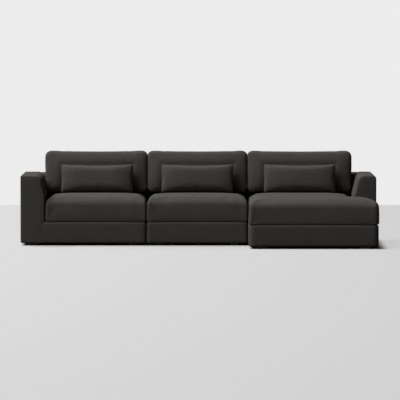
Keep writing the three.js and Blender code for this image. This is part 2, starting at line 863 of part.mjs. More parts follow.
function connectorFork(seam, y) {
  const half = connectorPlateWidth / 2;
  const edge = seam - moduleGap / 2;
  const top = baseBottom - contactGap;
  const shelf = top - connectorPlateThickness;
  const tongueTop = shelf - contactGap;
  const tongueBottom = tongueTop - connectorPlateThickness;
  const body = join([
    box([edge - connectorPlateLength, edge], [y - half, y + half], [shelf, top]),
    box([edge - 2 * connectorPlateThickness, edge], [y - half, y + half], [tongueBottom, top]),
    box([edge - 2 * connectorPlateThickness, seam + connectorReach], [y - half, y + half],
      [tongueBottom, tongueTop]),
  ]);
  const slot = connectorPinRadius + contactGap;
  const through = [tongueBottom - overrun, tongueTop];
  return cut(body, [
    rod(slot, seam + connectorPinPlace, y, through),
    box([seam + connectorPinPlace, seam + connectorReach + overrun], [y - slot, y + slot], through),
  ]);
}

function connectorPin(seam, y) {
  const half = connectorPlateWidth / 2;
  const edge = seam + moduleGap / 2;
  const top = baseBottom - contactGap;
  const shelf = top - connectorPlateThickness;
  return join([
    box([edge, edge + connectorPlateLength], [y - half, y + half], [shelf, top]),
    rod(connectorPinRadius, seam + connectorPinPlace, y, [shelf - connectorPinLength, top]),
  ]);
}

function addMesh(group, name, solid, finish) {
  const material = new THREE.MeshStandardMaterial(palette[finish]);
  const mesh = new THREE.Mesh(toGeometry(solid), material);
  mesh.name = name;
  group.add(mesh);
  return mesh;
}

// Builds one module in its own frame: X from its left side, Y from the line of the seat fronts
function buildModule(spec) {
  const module = moduleLayout(spec);
  const { name } = module;
  const group = new THREE.Group();
  addMesh(group, `${name}_seat_frame`, seatFrame(module), 'timber');
  addMesh(group, `${name}_webbing`, webbing(module), 'webbing');
  addMesh(group, `${name}_base_cover`, baseCover(module), 'upholstery');
  addMesh(group, `${name}_deck`, deckPanel(module), 'deckCloth');
  addMesh(group, `${name}_dust_cover`, dustCover(module), 'dustCloth');
  if (module.arm) {
    addMesh(group, `${name}_arm_frame`, armFrame(module), 'timber');
    addMesh(group, `${name}_arm_cover`, armCover(module), 'upholstery');
  }
  const back = backCover(module);
  addMesh(group, `${name}_back_frame`, backFrame(module), 'timber');
  addMesh(group, `${name}_back_cover`, back, 'upholstery');
  const seat = toSolid(seatCushion(module));
  const backRest = backCushion(module, seat, back);
  addMesh(group, `${name}_seat_cushion`, seat, 'upholstery');
  addMesh(group, `${name}_back_cushion`, backRest, 'upholstery');
  addMesh(group, `${name}_lumbar_pillow`, lumbarPillow(module, seat, backRest), 'upholstery');
  footPlaces(module).forEach((place, index) => {
    const mesh = addMesh(group, `${name}_foot_${index + 1}`, foot(), 'plastic');
    mesh.position.set(place.x, place.y, 0);
  });
  return group;
}

const moduleSpecs = [
  {
    name: 'left',
    width: leftModuleWidth,
    extension: 0,
    cornerRadius: baseCornerRadius,
    arm: {
      side: 'left',
      topWidth: leftArmTopWidth,
      seatWidth: leftArmSeatWidth,
      cushionGap: leftArmCushionGap,
    },
    joinedLeft: false,
    joinedRight: true,
  },
  {
    name: 'middle',
    width: middleModuleWidth,
    extension: 0,
    cornerRadius: baseCornerRadius,
    arm: null,
    joinedLeft: true,
    joinedRight: true,
  },
  {
    name: 'chaise',
    width: chaiseModuleWidth,
    extension: chaiseExtension,
    cornerRadius: chaiseCornerRadius,
    arm: {
      side: 'right',
      topWidth: rightArmTopWidth,
      seatWidth: rightArmSeatWidth,
      cushionGap: rightArmCushionGap,
    },
    joinedLeft: true,
    joinedRight: false,
  },
];

const sofa = new THREE.Group();
sofa.name = 'sectional_sofa';
let seam = 0;
moduleSpecs.forEach((spec, index) => {
  const module = buildModule(spec);
  module.position.x = seam;
  sofa.add(module);
  seam += spec.width;
  const next = moduleSpecs[index + 1];
  if (next) {
    const places = [connectorFrontInset, moduleDepth - connectorBackInset];
    places.forEach((y, place) => {
      const label = `${spec.name}_to_${next.name}_${place === 0 ? 'front' : 'rear'}`;
      addMesh(sofa, `${label}_fork`, connectorFork(seam, y), 'steel');
      addMesh(sofa, `${label}_pin`, connectorPin(seam, y), 'steel');
    });
  }
});

// The origin is on the floor under the middle of the sofa's plan
const group = new THREE.Group();
sofa.position.set(-seam / 2, (chaiseExtension - moduleDepth) / 2, 0);
group.add(sofa);

export default group;
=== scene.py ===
"""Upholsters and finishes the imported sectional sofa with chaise, and sets up the studio around it.

Metres, +X to the right of a person who faces the sofa, +Y to its back, +Z up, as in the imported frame.
Every cover and cushion takes its place from the box of the CAD node that it stands for.
"""

import json
import math

import bmesh
import bpy
import numpy as np
from bpy.props import FloatProperty, FloatVectorProperty, IntProperty, PointerProperty
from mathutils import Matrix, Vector


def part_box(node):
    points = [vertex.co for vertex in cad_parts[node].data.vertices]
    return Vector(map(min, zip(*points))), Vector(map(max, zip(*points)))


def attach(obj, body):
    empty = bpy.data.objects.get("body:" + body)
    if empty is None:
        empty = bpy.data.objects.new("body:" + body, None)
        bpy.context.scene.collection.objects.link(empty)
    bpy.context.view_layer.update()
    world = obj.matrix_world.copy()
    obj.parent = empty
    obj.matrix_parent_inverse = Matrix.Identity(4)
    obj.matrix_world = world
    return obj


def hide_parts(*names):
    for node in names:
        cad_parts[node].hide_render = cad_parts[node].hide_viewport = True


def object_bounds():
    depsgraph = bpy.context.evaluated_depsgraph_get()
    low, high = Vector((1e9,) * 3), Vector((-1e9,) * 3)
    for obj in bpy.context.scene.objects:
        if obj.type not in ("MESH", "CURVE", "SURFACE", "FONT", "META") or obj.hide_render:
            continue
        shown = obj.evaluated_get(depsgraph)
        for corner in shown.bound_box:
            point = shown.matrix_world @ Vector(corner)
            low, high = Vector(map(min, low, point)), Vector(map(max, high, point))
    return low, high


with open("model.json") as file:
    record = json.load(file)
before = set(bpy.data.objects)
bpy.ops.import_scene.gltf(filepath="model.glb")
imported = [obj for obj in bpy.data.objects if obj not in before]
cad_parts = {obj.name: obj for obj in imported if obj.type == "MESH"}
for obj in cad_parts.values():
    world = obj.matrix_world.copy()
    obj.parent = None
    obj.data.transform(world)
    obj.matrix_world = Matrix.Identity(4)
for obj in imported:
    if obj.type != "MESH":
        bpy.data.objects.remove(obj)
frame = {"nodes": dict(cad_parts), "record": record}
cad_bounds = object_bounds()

bl_info = {
    "name": "Sectional sofa with chaise",
    "version": (1, 0, 0),
    "blender": (4, 5, 0),
    "location": "View3D > Sidebar > Sofa",
    "description": "Covers, cushions, finishes and studio of a three-module sectional sofa",
    "category": "Object",
}

MODULES = ("left", "middle", "chaise")
ARM_SIDES = {"left": -1, "chaise": 1}
HARDWARE = ("timber", "webbing", "black_plastic", "steel")
MATH = "ShaderNodeMath"

# Rounding where the inner faces of the arms and the back start to lean
KINK_RADIUS = 0.15

# Each lamp's strength among the studio's settings, and the way from the sofa to the lamp
LAMPS = {
    "upper left lamp": ("key_light", (-0.60, -0.20, 0.77)),
    "overhead lamp": ("top_light", (-0.20, -0.10, 0.97)),
    "low front lamp": ("fill_light", (-0.60, -0.60, 0.53)),
    "rear lamp": ("rear_light", (-0.40, 0.30, 0.87)),
}


def linear(hex_colour):
    """Turns an sRGB hex colour into linear red, green, blue and alpha."""
    shares = [int(hex_colour[place:place + 2], 16) / 255 for place in (1, 3, 5)]
    return (*[s / 12.92 if s <= 0.04045 else ((s + 0.055) / 1.055) ** 2.4 for s in shares], 1.0)


def length(name, description, default):
    """A property that holds a length in metres."""
    return FloatProperty(name=name, description=description, default=default, unit="LENGTH", precision=4)


def number(name, description, default):
    """A property that holds a plain number."""
    return FloatProperty(name=name, description=description, default=default)


def one_share(name, description, default):
    """A property that holds a share between zero and one."""
    return FloatProperty(name=name, description=description, default=default, subtype="FACTOR", min=0, max=1)


def three_shares(name, description, default):
    """A property that holds three shares, along X, Y and Z."""
    return FloatVectorProperty(name=name, description=description, default=default,
                               subtype="XYZ", size=3, min=0, max=1)


def colour(name, description, hex_colour):
    """A property that holds a colour."""
    return FloatVectorProperty(name=name, description=description, default=linear(hex_colour),
                               subtype="COLOR", size=4, min=0, max=1)


class CoverSettings(bpy.types.PropertyGroup):
    """Sizes of the fixed covers on the bases, arms and backs."""
    kink_height: length("Kink height", "Height at which the arms and the back start to lean", 0.480)
    left_arm_lean: length("Left arm lean", "How far the left arm's inner face leans outwards", 0.045)
    right_arm_lean: length("Right arm lean", "How far the right arm's inner face leans outwards", 0.055)
    back_lean: length("Back lean", "How far the back's front face leans backwards", 0.046)
    left_outer_shoulder: length("Left outer shoulder", "Rounding of the left arm's outer top edge", 0.016)
    right_outer_shoulder: length("Right outer shoulder", "Rounding of the right arm's outer top edge", 0.035)
    left_inner_shoulder: length("Left inner shoulder", "Rounding of the left arm's inner top edge", 0.065)
    right_inner_shoulder: length("Right inner shoulder", "Rounding of the right arm's inner top edge", 0.060)
    arm_crown: length("Arm crown", "How far the padding of an arm's top stands above its frame", 0.003)
    back_shoulder: length("Back shoulder", "Rounding of the front top edge of the backs", 0.040)
    joint_swell: length("Joint swell", "How far a cover swells to meet the next module's", 0.0019)
    end_rounding: length("End rounding", "Rounding round the end panels of the arms and backs", 0.016)
    base_rounding: length("Base rounding", "Rounding of the lower edge of the base", 0.018)
    base_hang: length("Base hang", "How far the padded lower edge hangs below the frame of the base", 0.010)
    base_shoulder: length("Base shoulder", "Rounding of the upper edge of the base, under the seats", 0.028)
    base_corner: length("Base corner", "Radius of the base's upright front corners", 0.034)
    chaise_corner: length("Chaise corner", "Radius of the chaise's upright front corners", 0.050)
    firm_corner: length("Firm corner", "Radius of the base's corners at the rear and under the arms", 0.020)
    deck_rim: length("Deck rim", "Width of the padded rim round the deck", 0.062)
    seam_width: length("Seam width", "Width of the sewn groove round a panel", 0.0036)
    seam_depth: length("Seam depth", "Depth of the sewn groove round a panel", 0.0014)


class SeatSettings(bpy.types.PropertyGroup):
    """Form of the seat cushions."""
    edge_height: length("Edge height", "Height of the cushion's wall up to the soft upper edge", 0.168)
    edge_reach: length("Edge reach", "Width of the soft upper edge in plan, at the front", 0.058)
    side_share: one_share("Side share", "Width of the soft upper edge at the sides, as a share", 0.55)
    edge_drop: length("Edge drop", "Height of the soft upper edge", 0.064)
    crown_reach: length("Crown reach", "Distance from the edge over which the crown rises", 0.340)
    rows_reach: length("Rows reach", "Distance from the edge up to which the cover has rows of points", 0.280)
    corner_radius: length("Corner radius", "Radius of the upright corners", 0.024)
    chaise_corner: length("Chaise corner", "Radius of the chaise cushion's upright front corners", 0.042)
    lower_radius: length("Lower radius", "Rounding of the lower edge", 0.007)
    wall_taper: length("Wall taper", "How far the wall draws in towards its lower edge", 0.004)
    seam_draw: length("Seam draw", "How far the seams pull the wall in", 0.003)
    side_draw: length("Side draw", "How far a side pulls in between its corners", 0.002)
    voxel: length("Remesh size", "Size of the cloth mesh before it is stuffed", 0.012)
    swell_cap: length("Swell cap", "Furthest that the stuffing may push the cloth", 0.014)
    swell_shares: three_shares("Swell shares", "What the cushion keeps of the cloth's move", (0.3, 0.3, 1.0))
    side_swell: length("Side swell", "How far a cushion swells sideways to meet the next one", 0.0060)
    free_swell: length("Free swell", "How far the chaise cushion swells past its free side", 0.0115)
    settling: length("Settling", "Height over which the cushion's weight flattens its lower edge", 0.026)
    droop: length("Droop", "How far the front lower edge hangs over the base's rounded shoulder", 0.006)


class BackSettings(bpy.types.PropertyGroup):
    """Form of the back cushions."""
    thickness: length("Thickness", "Thickness at the seams", 0.150)
    crown: length("Crown", "Rise of the front face above the seams", 0.050)
    crown_reach: length("Crown reach", "Distance from the edge over which the crown rises", 0.280)
    rows_reach: length("Rows reach", "Distance from the edge up to which the cover has rows of points", 0.180)
    edge: length("Edge", "Rounding of the front edge", 0.026)
    rear_radius: length("Rear radius", "Rounding of the rear edge", 0.022)
    corner_radius: length("Corner radius", "Radius of the corners seen from the front", 0.058)
    top_sag: length("Top sag", "How far the top edge sags between its corners", 0.003)
    side_draw: length("Side draw", "How far a side pulls in between its corners", 0.001)
    voxel: length("Remesh size", "Size of the cloth mesh before it is stuffed", 0.009)
    swell_cap: length("Swell cap", "Furthest that the stuffing may push the cloth", 0.012)
    swell_shares: three_shares("Swell shares", "What the cushion keeps of the cloth's move", (0.3, 1.0, 0.5))
    side_swell: length("Side swell", "How far a cushion swells sideways to meet the next one", 0.0100)
    dent: length("Dent", "How deep the lumbar pillow presses into the back cushion", 0.012)
    dent_reach: length("Dent reach", "How far the dent spreads round the lumbar pillow", 0.060)


class PillowSettings(bpy.types.PropertyGroup):
    """Form of the lumbar pillows."""
    width: length("Width", "Width at the corners", 0.716)
    height: length("Height", "Height at the corners", 0.288)
    thickness: length("Thickness", "Thickness at the middle", 0.128)
    top_sag: length("Top sag", "How far the top seam sags between its corners", 0.011)
    side_draw: length("Side draw", "How far the end seams pull in between the corners", 0.002)
    lean: FloatProperty(name="Lean", description="Angle by which the pillow leans back",
                        default=math.radians(16), subtype="ANGLE")
    fullness: number("Fullness", "How flat the middle is before it falls away", 4)
    edge_power: number("Edge power", "How blunt the pillow is at its seam", 0.6)
    voxel: length("Remesh size", "Size of the cloth mesh before it is stuffed", 0.006)
    swell_cap: length("Swell cap", "Furthest that the stuffing may push the cloth", 0.010)
    swell_shares: three_shares("Swell shares", "What the pillow keeps of the cloth's move", (0.3, 1.0, 0.6))
    side_swell: length("Side swell", "How far a pillow swells sideways past its plan", 0.0)


class ClothSettings(bpy.types.PropertyGroup):
    """How the cushions' covers are stuffed, and what the cloth looks like."""
    pressure: number("Pressure", "Pressure of the stuffing on the cover", 4)
    steps: IntProperty(name="Steps", description="Frames that the stuffing takes", default=20)
    fabric: colour("Fabric", "Charcoal of the upholstery fabric", "#575451")
    fabric_fleck: colour("Fleck", "Lighter fibres brushed up from the fabric", "#64605D")
    weave_pitch: length("Weave pitch", "Spacing of the fabric's threads", 0.0034)


class StudioSettings(bpy.types.PropertyGroup):
    """Camera, lamps, floor and wall."""
    camera_x: length("Camera X", "Sideways place of the camera", 0.016)
    camera_distance: length("Camera distance", "From the camera to the line of the seat fronts", 40.0)
    camera_height: length("Camera height", "Height of the camera", 2.27)
    aim_height: length("Aim height", "Height that the camera looks at, at the seat fronts", 0.448)
    lens: FloatProperty(name="Lens", description="Focal length in millimetres on a 36 mm sensor",
                        default=366.5, unit="CAMERA")
    wall: colour("Wall", "Tone of the studio wall", "#ECECEC")
    floor: colour("Floor", "Tone of the studio floor", "#DADADA")
    floor_bounce: colour("Floor bounce", "Tone by which the floor throws light back up", "#6C6A68")
    floor_rear: length("Floor rear", "From the middle of the sofa back to the foot of the wall", 8.3)
    floor_reach: length("Floor reach", "From the middle of the sofa to the floor's other edges", 18.0)
    # Painted shade: the floor darkens to the right for light that falls off away from the left-hand lamps.
    painted_falloff_slope: number("Floor slope", "Share of tone lost for each metre to the right", 0.022)
    # Painted light: the floor's own glow is kept off near and under the sofa, and further out it washes out
    # the sofa's cast shadow.
    painted_floor_glow: one_share("Floor glow", "Share of the floor's tone that is its own light", 0.85)
    painted_glow_reach: length("Glow reach", "Distance from the sofa over which the floor's own light comes up", 0.12)
    key_light: number("Key light", "Light of the upper left lamp at the sofa", 0.44)
    top_light: number("Top light", "Light of the overhead lamp at the sofa", 0.13)
    fill_light: number("Fill light", "Light of the low front lamp at the sofa", 0.14)
    rear_light: number("Rear light", "Light of the rear lamp at the sofa", 0.52)
    lamp_distance: length("Lamp distance", "From each lamp to the sofa", 28.0)
    lamp_spread: one_share("Lamp spread", "A lamp's side as a share of its distance", 0.45)
    ambient: number("Ambient", "Strength of the light from all round", 0.010)


SETTINGS = {
    "sofa_covers": CoverSettings,
    "sofa_seats": SeatSettings,
    "sofa_backs": BackSettings,
    "sofa_pillows": PillowSettings,
    "sofa_cloth": ClothSettings,
    "sofa_studio": StudioSettings,
}


def outline_rings(corners, radii, insets, draws=0.0, shares=1.0, even=0.0, turn_steps=8, side_steps=20):
    """Rings of one outline, each moved inwards by its own inset: array of (rings, points, 2).

    Each side moves in by inset * its share, and by the ring's even inset. A corner's tip p follows both
    of its sides, with normals m and n, cosine c = m . n and moves a and b:
    p = (a * (m - c * n) + b * (n - c * m)) / (1 - c * c).
    The turn is an arc that touches both sides: centre = tip + radius * mitre, point = centre - radius *
    (inward normal turned by a share of the angle). The radius shrinks by the mean move on an outward
    corner and grows on an inward one, down to a fifth at the least. Each side runs straight between two
    arcs, then moves inwards by draw * (1 - (2 * share - 1) squared).
    """
    corners = np.asarray(corners, float)
    radii = np.broadcast_to(np.asarray(radii, float), len(corners))
    draws = np.broadcast_to(np.asarray(draws, float), len(corners))
    shares = np.broadcast_to(np.asarray(shares, float), len(corners))
    following = np.roll(corners, -1, axis=0)
    if np.sum(corners[:, 0] * following[:, 1] - corners[:, 1] * following[:, 0]) < 0:
        return outline_rings(corners[::-1], radii[::-1], insets, np.roll(draws[::-1], -1),
                             np.roll(shares[::-1], -1), even, turn_steps, side_steps)
    run = (following - corners) / np.linalg.norm(following - corners, axis=1, keepdims=True)
    after = np.stack([-run[:, 1], run[:, 0]], axis=1)
    before = np.roll(after, 1, axis=0)
    turn = np.arctan2(before[:, 0] * after[:, 1] - before[:, 1] * after[:, 0], np.sum(before * after, axis=1))
    way = np.sign(turn)
    mitre = (before + after) / (1 + np.cos(turn))[:, None]
    even = np.broadcast_to(np.asarray(even, float), len(insets))
    move_after = np.asarray(insets, float)[:, None] * shares + even[:, None]
    move_before = np.roll(move_after, 1, axis=1)
    cosine = np.cos(turn)[:, None]
    tip = corners + (move_before[..., None] * (before - cosine * after)
                     + move_after[..., None] * (after - cosine * before)) / (1 - cosine ** 2)
    least = radii / 5
    radius = np.maximum(radii - way * (move_before + move_after) / 2, least)
    centre = tip + (way * radius)[:, :, None] * mitre
    angle = turn[:, None] * np.linspace(0, 1, turn_steps + 1)
    across = np.stack([-before[:, 1], before[:, 0]], axis=1)
    spoke = np.cos(angle)[..., None] * before[:, None] + np.sin(angle)[..., None] * across[:, None]
    arcs = centre[:, :, None] - (way * radius)[:, :, None, None] * spoke
    share = 0.5 - 0.5 * np.cos(np.pi * np.arange(1, side_steps) / side_steps)
    start = arcs[:, :, -1:]
    end = np.roll(arcs[:, :, :1], -1, axis=1)
    pull = draws[:, None] * (1 - (2 * share - 1) ** 2)
    sides = start + share[:, None] * (end - start) + pull[..., None] * after[:, None]
    rings = np.concatenate([arcs, sides], axis=2)
    return rings.reshape(len(insets), -1, 2)


def quarter(steps):
    """Angles from zero to a right angle."""
    return np.linspace(0, math.pi / 2, steps + 1)


def new_piece(name, points, faces):
    """Makes a smooth-shaded mesh object at the origin, with its place in its vertices."""
    mesh = bpy.data.meshes.new(name)
    mesh.from_pydata(points, [], faces)
    mesh.shade_smooth()
    piece = bpy.data.objects.new(name, mesh)
    bpy.context.collection.objects.link(piece)
    return piece


def closed_stack(name, rings):
    """A closed mesh from rings of (levels, points, 3): a quad between each pair of neighbours on two
    rings and one face over each end. The enclosed volume, summed over the quads and ends as
    tetrahedra from the middle, says whether the faces have to be turned round."""
    levels, count = rings.shape[:2]
    points = rings.reshape(-1, 3)
    low = np.arange(levels - 1)[:, None] * count
    here = np.arange(count)
    after = (here + 1) % count
    quads = np.stack([low + here, low + after, low + after + count, low + here + count], axis=-1)
    quads = quads.reshape(-1, 4)
    ends = [np.arange(count)[::-1], (levels - 1) * count + np.arange(count)]
    centred = points - points.mean(axis=0)
    a, b, c, d = (centred[quads[:, place]] for place in range(4))
    volume = np.sum(a * np.cross(b, c)) + np.sum(a * np.cross(c, d))
    for end in ends:
        rim = centred[end]
        volume += np.sum(rim.mean(axis=0) * np.cross(rim, np.roll(rim, -1, axis=0)))
    faces = [*quads.tolist(), *[end.tolist() for end in ends]]
    if volume < 0:
        faces = [face[::-1] for face in faces]
    return new_piece(name, points, faces)


def carried_outline(name, corners, radii, profile, axes, shares=1.0):
    """A closed piece: an outline carried along an axis. The profile's parts hold (inset, level) pairs,
    and axes says which of the outline's two directions (0, 1) and the level (2) run along X, Y and Z."""
    pairs = np.concatenate([np.atleast_2d(part) for part in profile])
    rings = outline_rings(corners, radii, pairs[:, 0], shares=shares)
    levels = np.broadcast_to(pairs[:, 1, None, None], (*rings.shape[:2], 1))
    return closed_stack(name, np.concatenate([rings, levels], axis=2)[..., axes])


def evaluated_mesh(piece):
    """A new mesh of the piece as its modifiers leave it."""
    graph = bpy.context.evaluated_depsgraph_get()
    return bpy.data.meshes.new_from_object(piece.evaluated_get(graph), depsgraph=graph)


def apply_modifiers(piece):
    """Puts the modifiers' result into the piece's mesh and removes them."""
    mesh = evaluated_mesh(piece)
    piece.modifiers.clear()
    piece.data = mesh
    mesh.shade_smooth()


def get_points(mesh):
    """The mesh's vertices as an array."""
    values = np.empty(len(mesh.vertices) * 3, np.float32)
    mesh.vertices.foreach_get("co", values)
    return values.reshape(-1, 3).astype(float)


def set_points(mesh, points):
    """Puts an array of points into the mesh's vertices."""
    mesh.vertices.foreach_set("co", points.astype(np.float32).ravel())
    mesh.update()


def fabric_piece(piece, node, slot):
    """Lets a cover or cushion stand for its CAD node, on that node's body, in the slot's finish."""
    bodies = frame["record"]["behaviour"]["bodies"]
    body = next(name for name, body_nodes in bodies.items() if node in body_nodes)
    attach(piece, body)
    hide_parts(node)
    piece.data.materials.clear()
    piece.data.materials.append(finish(slot))


def add_node(tree, kind, inputs, **settings):
    """Adds a node with its settings, fills its sockets, by name or in order, with values or links, and
    gives its outputs back."""
    node = tree.nodes.new(kind)
    for name, value in settings.items():
        setattr(node, name, value)
    for key, value in inputs.items() if isinstance(inputs, dict) else enumerate(inputs):
        if isinstance(value, bpy.types.NodeSocket):
            tree.links.new(value, node.inputs[key])
        else:
            node.inputs[key].default_value = value
    return node.outputs


def new_material(name, sockets):
    """A material whose Principled shader is filled with what sockets(tree) says."""
    material = bpy.data.materials.new(name)
    material.use_nodes = True
    tree = material.node_tree
    tree.nodes.clear()
    surface = add_node(tree, "ShaderNodeBsdfPrincipled", sockets(tree))["BSDF"]
    add_node(tree, "ShaderNodeOutputMaterial", {"Surface": surface})
    return material


def weave_group():
    """Height of a plain weave: group with a Pitch input and a Height output.

    The two coordinates that run along the surface are picked by its object-space normal: X, or Y where
    it faces sideways, and Z, or Y where it faces up. Each thread is a dome across and a low arch along,
    and the sign of the two sines' product says which is on top.
    """
    name = "plain weave"
    if name in bpy.data.node_groups:
        return bpy.data.node_groups[name]
    arch_share = 0.4
    tree = bpy.data.node_groups.new(name, "ShaderNodeTree")
    tree.interface.new_socket("Pitch", in_out="INPUT", socket_type="NodeSocketFloat")
    tree.interface.new_socket("Height", in_out="OUTPUT", socket_type="NodeSocketFloat")
    pitch = add_node(tree, "NodeGroupInput", {})["Pitch"]
    turns = add_node(tree, MATH, [math.pi, pitch], operation="DIVIDE")[0]
    place = add_node(tree, "ShaderNodeTexCoord", {})
    along = add_node(tree, "ShaderNodeSeparateXYZ", [place["Object"]])
    facing = add_node(tree, "ShaderNodeSeparateXYZ", [place["Normal"]])
    faces = [add_node(tree, MATH, [axis], operation="ABSOLUTE")[0] for axis in facing]
    threads = []
    for axis, others in ((0, (1, 2)), (2, (0, 1))):
        most = add_node(tree, MATH, [faces[other] for other in others], operation="MAXIMUM")[0]
        turned = add_node(tree, MATH, [faces[axis], most], operation="GREATER_THAN")[0]
        change = add_node(tree, MATH, [along[1], along[axis]], operation="SUBTRACT")[0]
        across = add_node(tree, MATH, [turned, change, along[axis]], operation="MULTIPLY_ADD")[0]
        angle = add_node(tree, MATH, [across, turns], operation="MULTIPLY")[0]
        threads.append(add_node(tree, MATH, [angle], operation="SINE")[0])
    domes = [add_node(tree, MATH, [thread], operation="ABSOLUTE")[0] for thread in threads]
    tops = []
    for dome, other in (domes, domes[::-1]):
        arch = add_node(tree, MATH, [other, arch_share, 1 - arch_share], operation="MULTIPLY_ADD")[0]
        tops.append(add_node(tree, MATH, [dome, arch], operation="MULTIPLY")[0])
    product = add_node(tree, MATH, threads, operation="MULTIPLY")[0]
    over = add_node(tree, MATH, [product, 0.0], operation="GREATER_THAN")[0]
    lift = add_node(tree, MATH, tops, operation="SUBTRACT")[0]
    height = add_node(tree, MATH, [over, lift, tops[1]], operation="MULTIPLY_ADD")[0]
    add_node(tree, "NodeGroupOutput", {"Height": height})
    return tree


def woven_cloth(tree, dark, light, pitch, roughness, sheen):
    """A woven cloth: two tones of fibre mixed in flecks and in broad soft patches, under a weave bump
    that is a quarter of the pitch deep and that the flecks roughen. It has no gloss."""
    fleck_size = 0.006
    patch_size = 0.16
    fleck_share = 0.75
    fibre_height = 0.8
    depth_share = 1 / 4
    place = add_node(tree, "ShaderNodeTexCoord", {})["Object"]
    fleck = add_node(tree, "ShaderNodeTexNoise", {
        "Vector": place, "Scale": 1 / fleck_size, "Detail": 3.0, "Roughness": 0.6})["Fac"]
    patch = add_node(tree, "ShaderNodeTexNoise", {
        "Vector": place, "Scale": 1 / patch_size, "Detail": 2.0, "Roughness": 0.5})["Fac"]
    patches = add_node(tree, MATH, [patch, 1 - fleck_share], operation="MULTIPLY")[0]
    mixed = add_node(tree, MATH, [fleck, fleck_share, patches], operation="MULTIPLY_ADD")[0]
    share = add_node(tree, "ShaderNodeMapRange", {
        "Value": mixed, "From Min": 0.36, "From Max": 0.64})["Result"]
    tone = add_node(tree, "ShaderNodeMix", {0: share, 6: dark, 7: light}, data_type="RGBA")[2]
    weave = add_node(tree, "ShaderNodeGroup", {"Pitch": pitch}, node_tree=weave_group())["Height"]
    fibre = add_node(tree, MATH, [fleck, fibre_height, weave], operation="MULTIPLY_ADD")[0]
    bump = add_node(tree, "ShaderNodeBump", {
        "Strength": 0.12, "Distance": pitch * depth_share, "Height": fibre})["Normal"]
    return {
        "Base Color": tone, "Normal": bump, "Roughness": roughness, "Specular IOR Level": 0.0,
        "Sheen Weight": sheen, "Sheen Roughness": 0.45,
    }


def upholstery_fabric(tree):
    """Brushed flat-weave polyester upholstery: matt, with hardly any bloom where it is seen edge on.

    Its real threads lie about 1.5 mm apart. They are drawn about twice as coarse, because finer ones
    would not show from a step away."""
    cloth = bpy.context.scene.sofa_cloth
    return woven_cloth(tree, cloth.fabric, cloth.fabric_fleck, cloth.weave_pitch, roughness=0.95, sheen=0.015)


def deck_fabric(tree):
    """Black deck cloth under the cushions: a plain, tight, non-slip weave with little sheen."""
    return woven_cloth(tree, linear("#2A2928"), linear("#343331"), pitch=0.0022, roughness=0.95, sheen=0.1)


def webbing_fabric(tree):
    """Elastic seat webbing: thick brown-grey jute and rubber thread, coarse and dry."""
    return woven_cloth(tree, linear("#4A4038"), linear("#6B5D4F"), pitch=0.0030, roughness=0.9, sheen=0.05)


def dust_fabric(tree):
    """Non-woven black dust cloth under the base: thin spun fibre, the finest of the cloths."""
    return woven_cloth(tree, linear("#1C1B1B"), linear("#262525"), pitch=0.0016, roughness=0.97, sheen=0.05)


def sawn_timber(tree):
    """Planed hardwood rails: pale yellow-brown, with grain in streaks along X and pores along them."""
    pale = linear("#B9925F")
    brown = linear("#94693B")
    streak_length = 0.25
    streak_width = 0.006
    place = add_node(tree, "ShaderNodeTexCoord", {})["Object"]
    stretched = add_node(tree, "ShaderNodeMapping", {
        "Vector": place, "Scale": (1 / streak_length, 1 / streak_width, 1 / streak_width)})[0]
    grain = add_node(tree, "ShaderNodeTexNoise", {
        "Vector": stretched, "Scale": 1.0, "Detail": 5.0, "Distortion": 0.6})["Fac"]
    streaks = add_node(tree, "ShaderNodeMapRange", {
        "Value": grain, "From Min": 0.3, "From Max": 0.7})["Result"]
    tone = add_node(tree, "ShaderNodeMix", {0: streaks, 6: pale, 7: brown}, data_type="RGBA")[2]
    bump = add_node(tree, "ShaderNodeBump", {"Strength": 0.3, "Distance": 0.0006, "Height": grain})["Normal"]
    return {"Base Color": tone, "Normal": bump, "Roughness": 0.62}


def moulded_plastic(tree):
    """Injection-moulded black polypropylene feet: matt, with a fine spark-eroded grain."""
    black = linear("#0E0E0E")
    worn = linear("#181717")
    grain_size = 0.0012
    wear_size = 30 * grain_size
    polish = 0.55
    wear_roughness = 0.2
    place = add_node(tree, "ShaderNodeTexCoord", {})["Object"]
    grain = add_node(tree, "ShaderNodeTexNoise", {
        "Vector": place, "Scale": 1 / grain_size, "Detail": 2.0})["Fac"]
    wear = add_node(tree, "ShaderNodeTexNoise", {
        "Vector": place, "Scale": 1 / wear_size, "Detail": 3.0})["Fac"]
    tone = add_node(tree, "ShaderNodeMix", {0: wear, 6: black, 7: worn}, data_type="RGBA")[2]
    dullness = add_node(tree, MATH, [wear, wear_roughness, polish], operation="MULTIPLY_ADD")[0]
    bump = add_node(tree, "ShaderNodeBump", {"Strength": 0.25, "Distance": 0.0002, "Height": grain})["Normal"]
    return {"Base Color": tone, "Roughness": dullness, "Normal": bump, "IOR": 1.49}


def zinc_steel(tree):
    """Zinc-plated pressed steel connectors: satin grey, with a faint rolling grain and dull patches."""
    dull = linear("#9A9EA0")
    bright = linear("#B2B6B8")
    grain_length = 0.02
    grain_width = 0.0008
    spangle_size = 0.007
    polish = 0.28
    grain_roughness = 0.25
    place = add_node(tree, "ShaderNodeTexCoord", {})["Object"]
    rolled = add_node(tree, "ShaderNodeMapping", {
        "Vector": place, "Scale": (1 / grain_length, 1 / grain_width, 1 / grain_width)})[0]
    grain = add_node(tree, "ShaderNodeTexNoise", {"Vector": rolled, "Scale": 1.0, "Detail": 3.0})["Fac"]
    spangle = add_node(tree, "ShaderNodeTexVoronoi", {"Vector": place, "Scale": 1 / spangle_size})["Distance"]
    tone = add_node(tree, "ShaderNodeMix", {0: spangle, 6: dull, 7: bright}, data_type="RGBA")[2]
    dullness = add_node(tree, MATH, [grain, grain_roughness, polish], operation="MULTIPLY_ADD")[0]
    return {"Base Color": tone, "Metallic": 1.0, "Roughness": dullness}


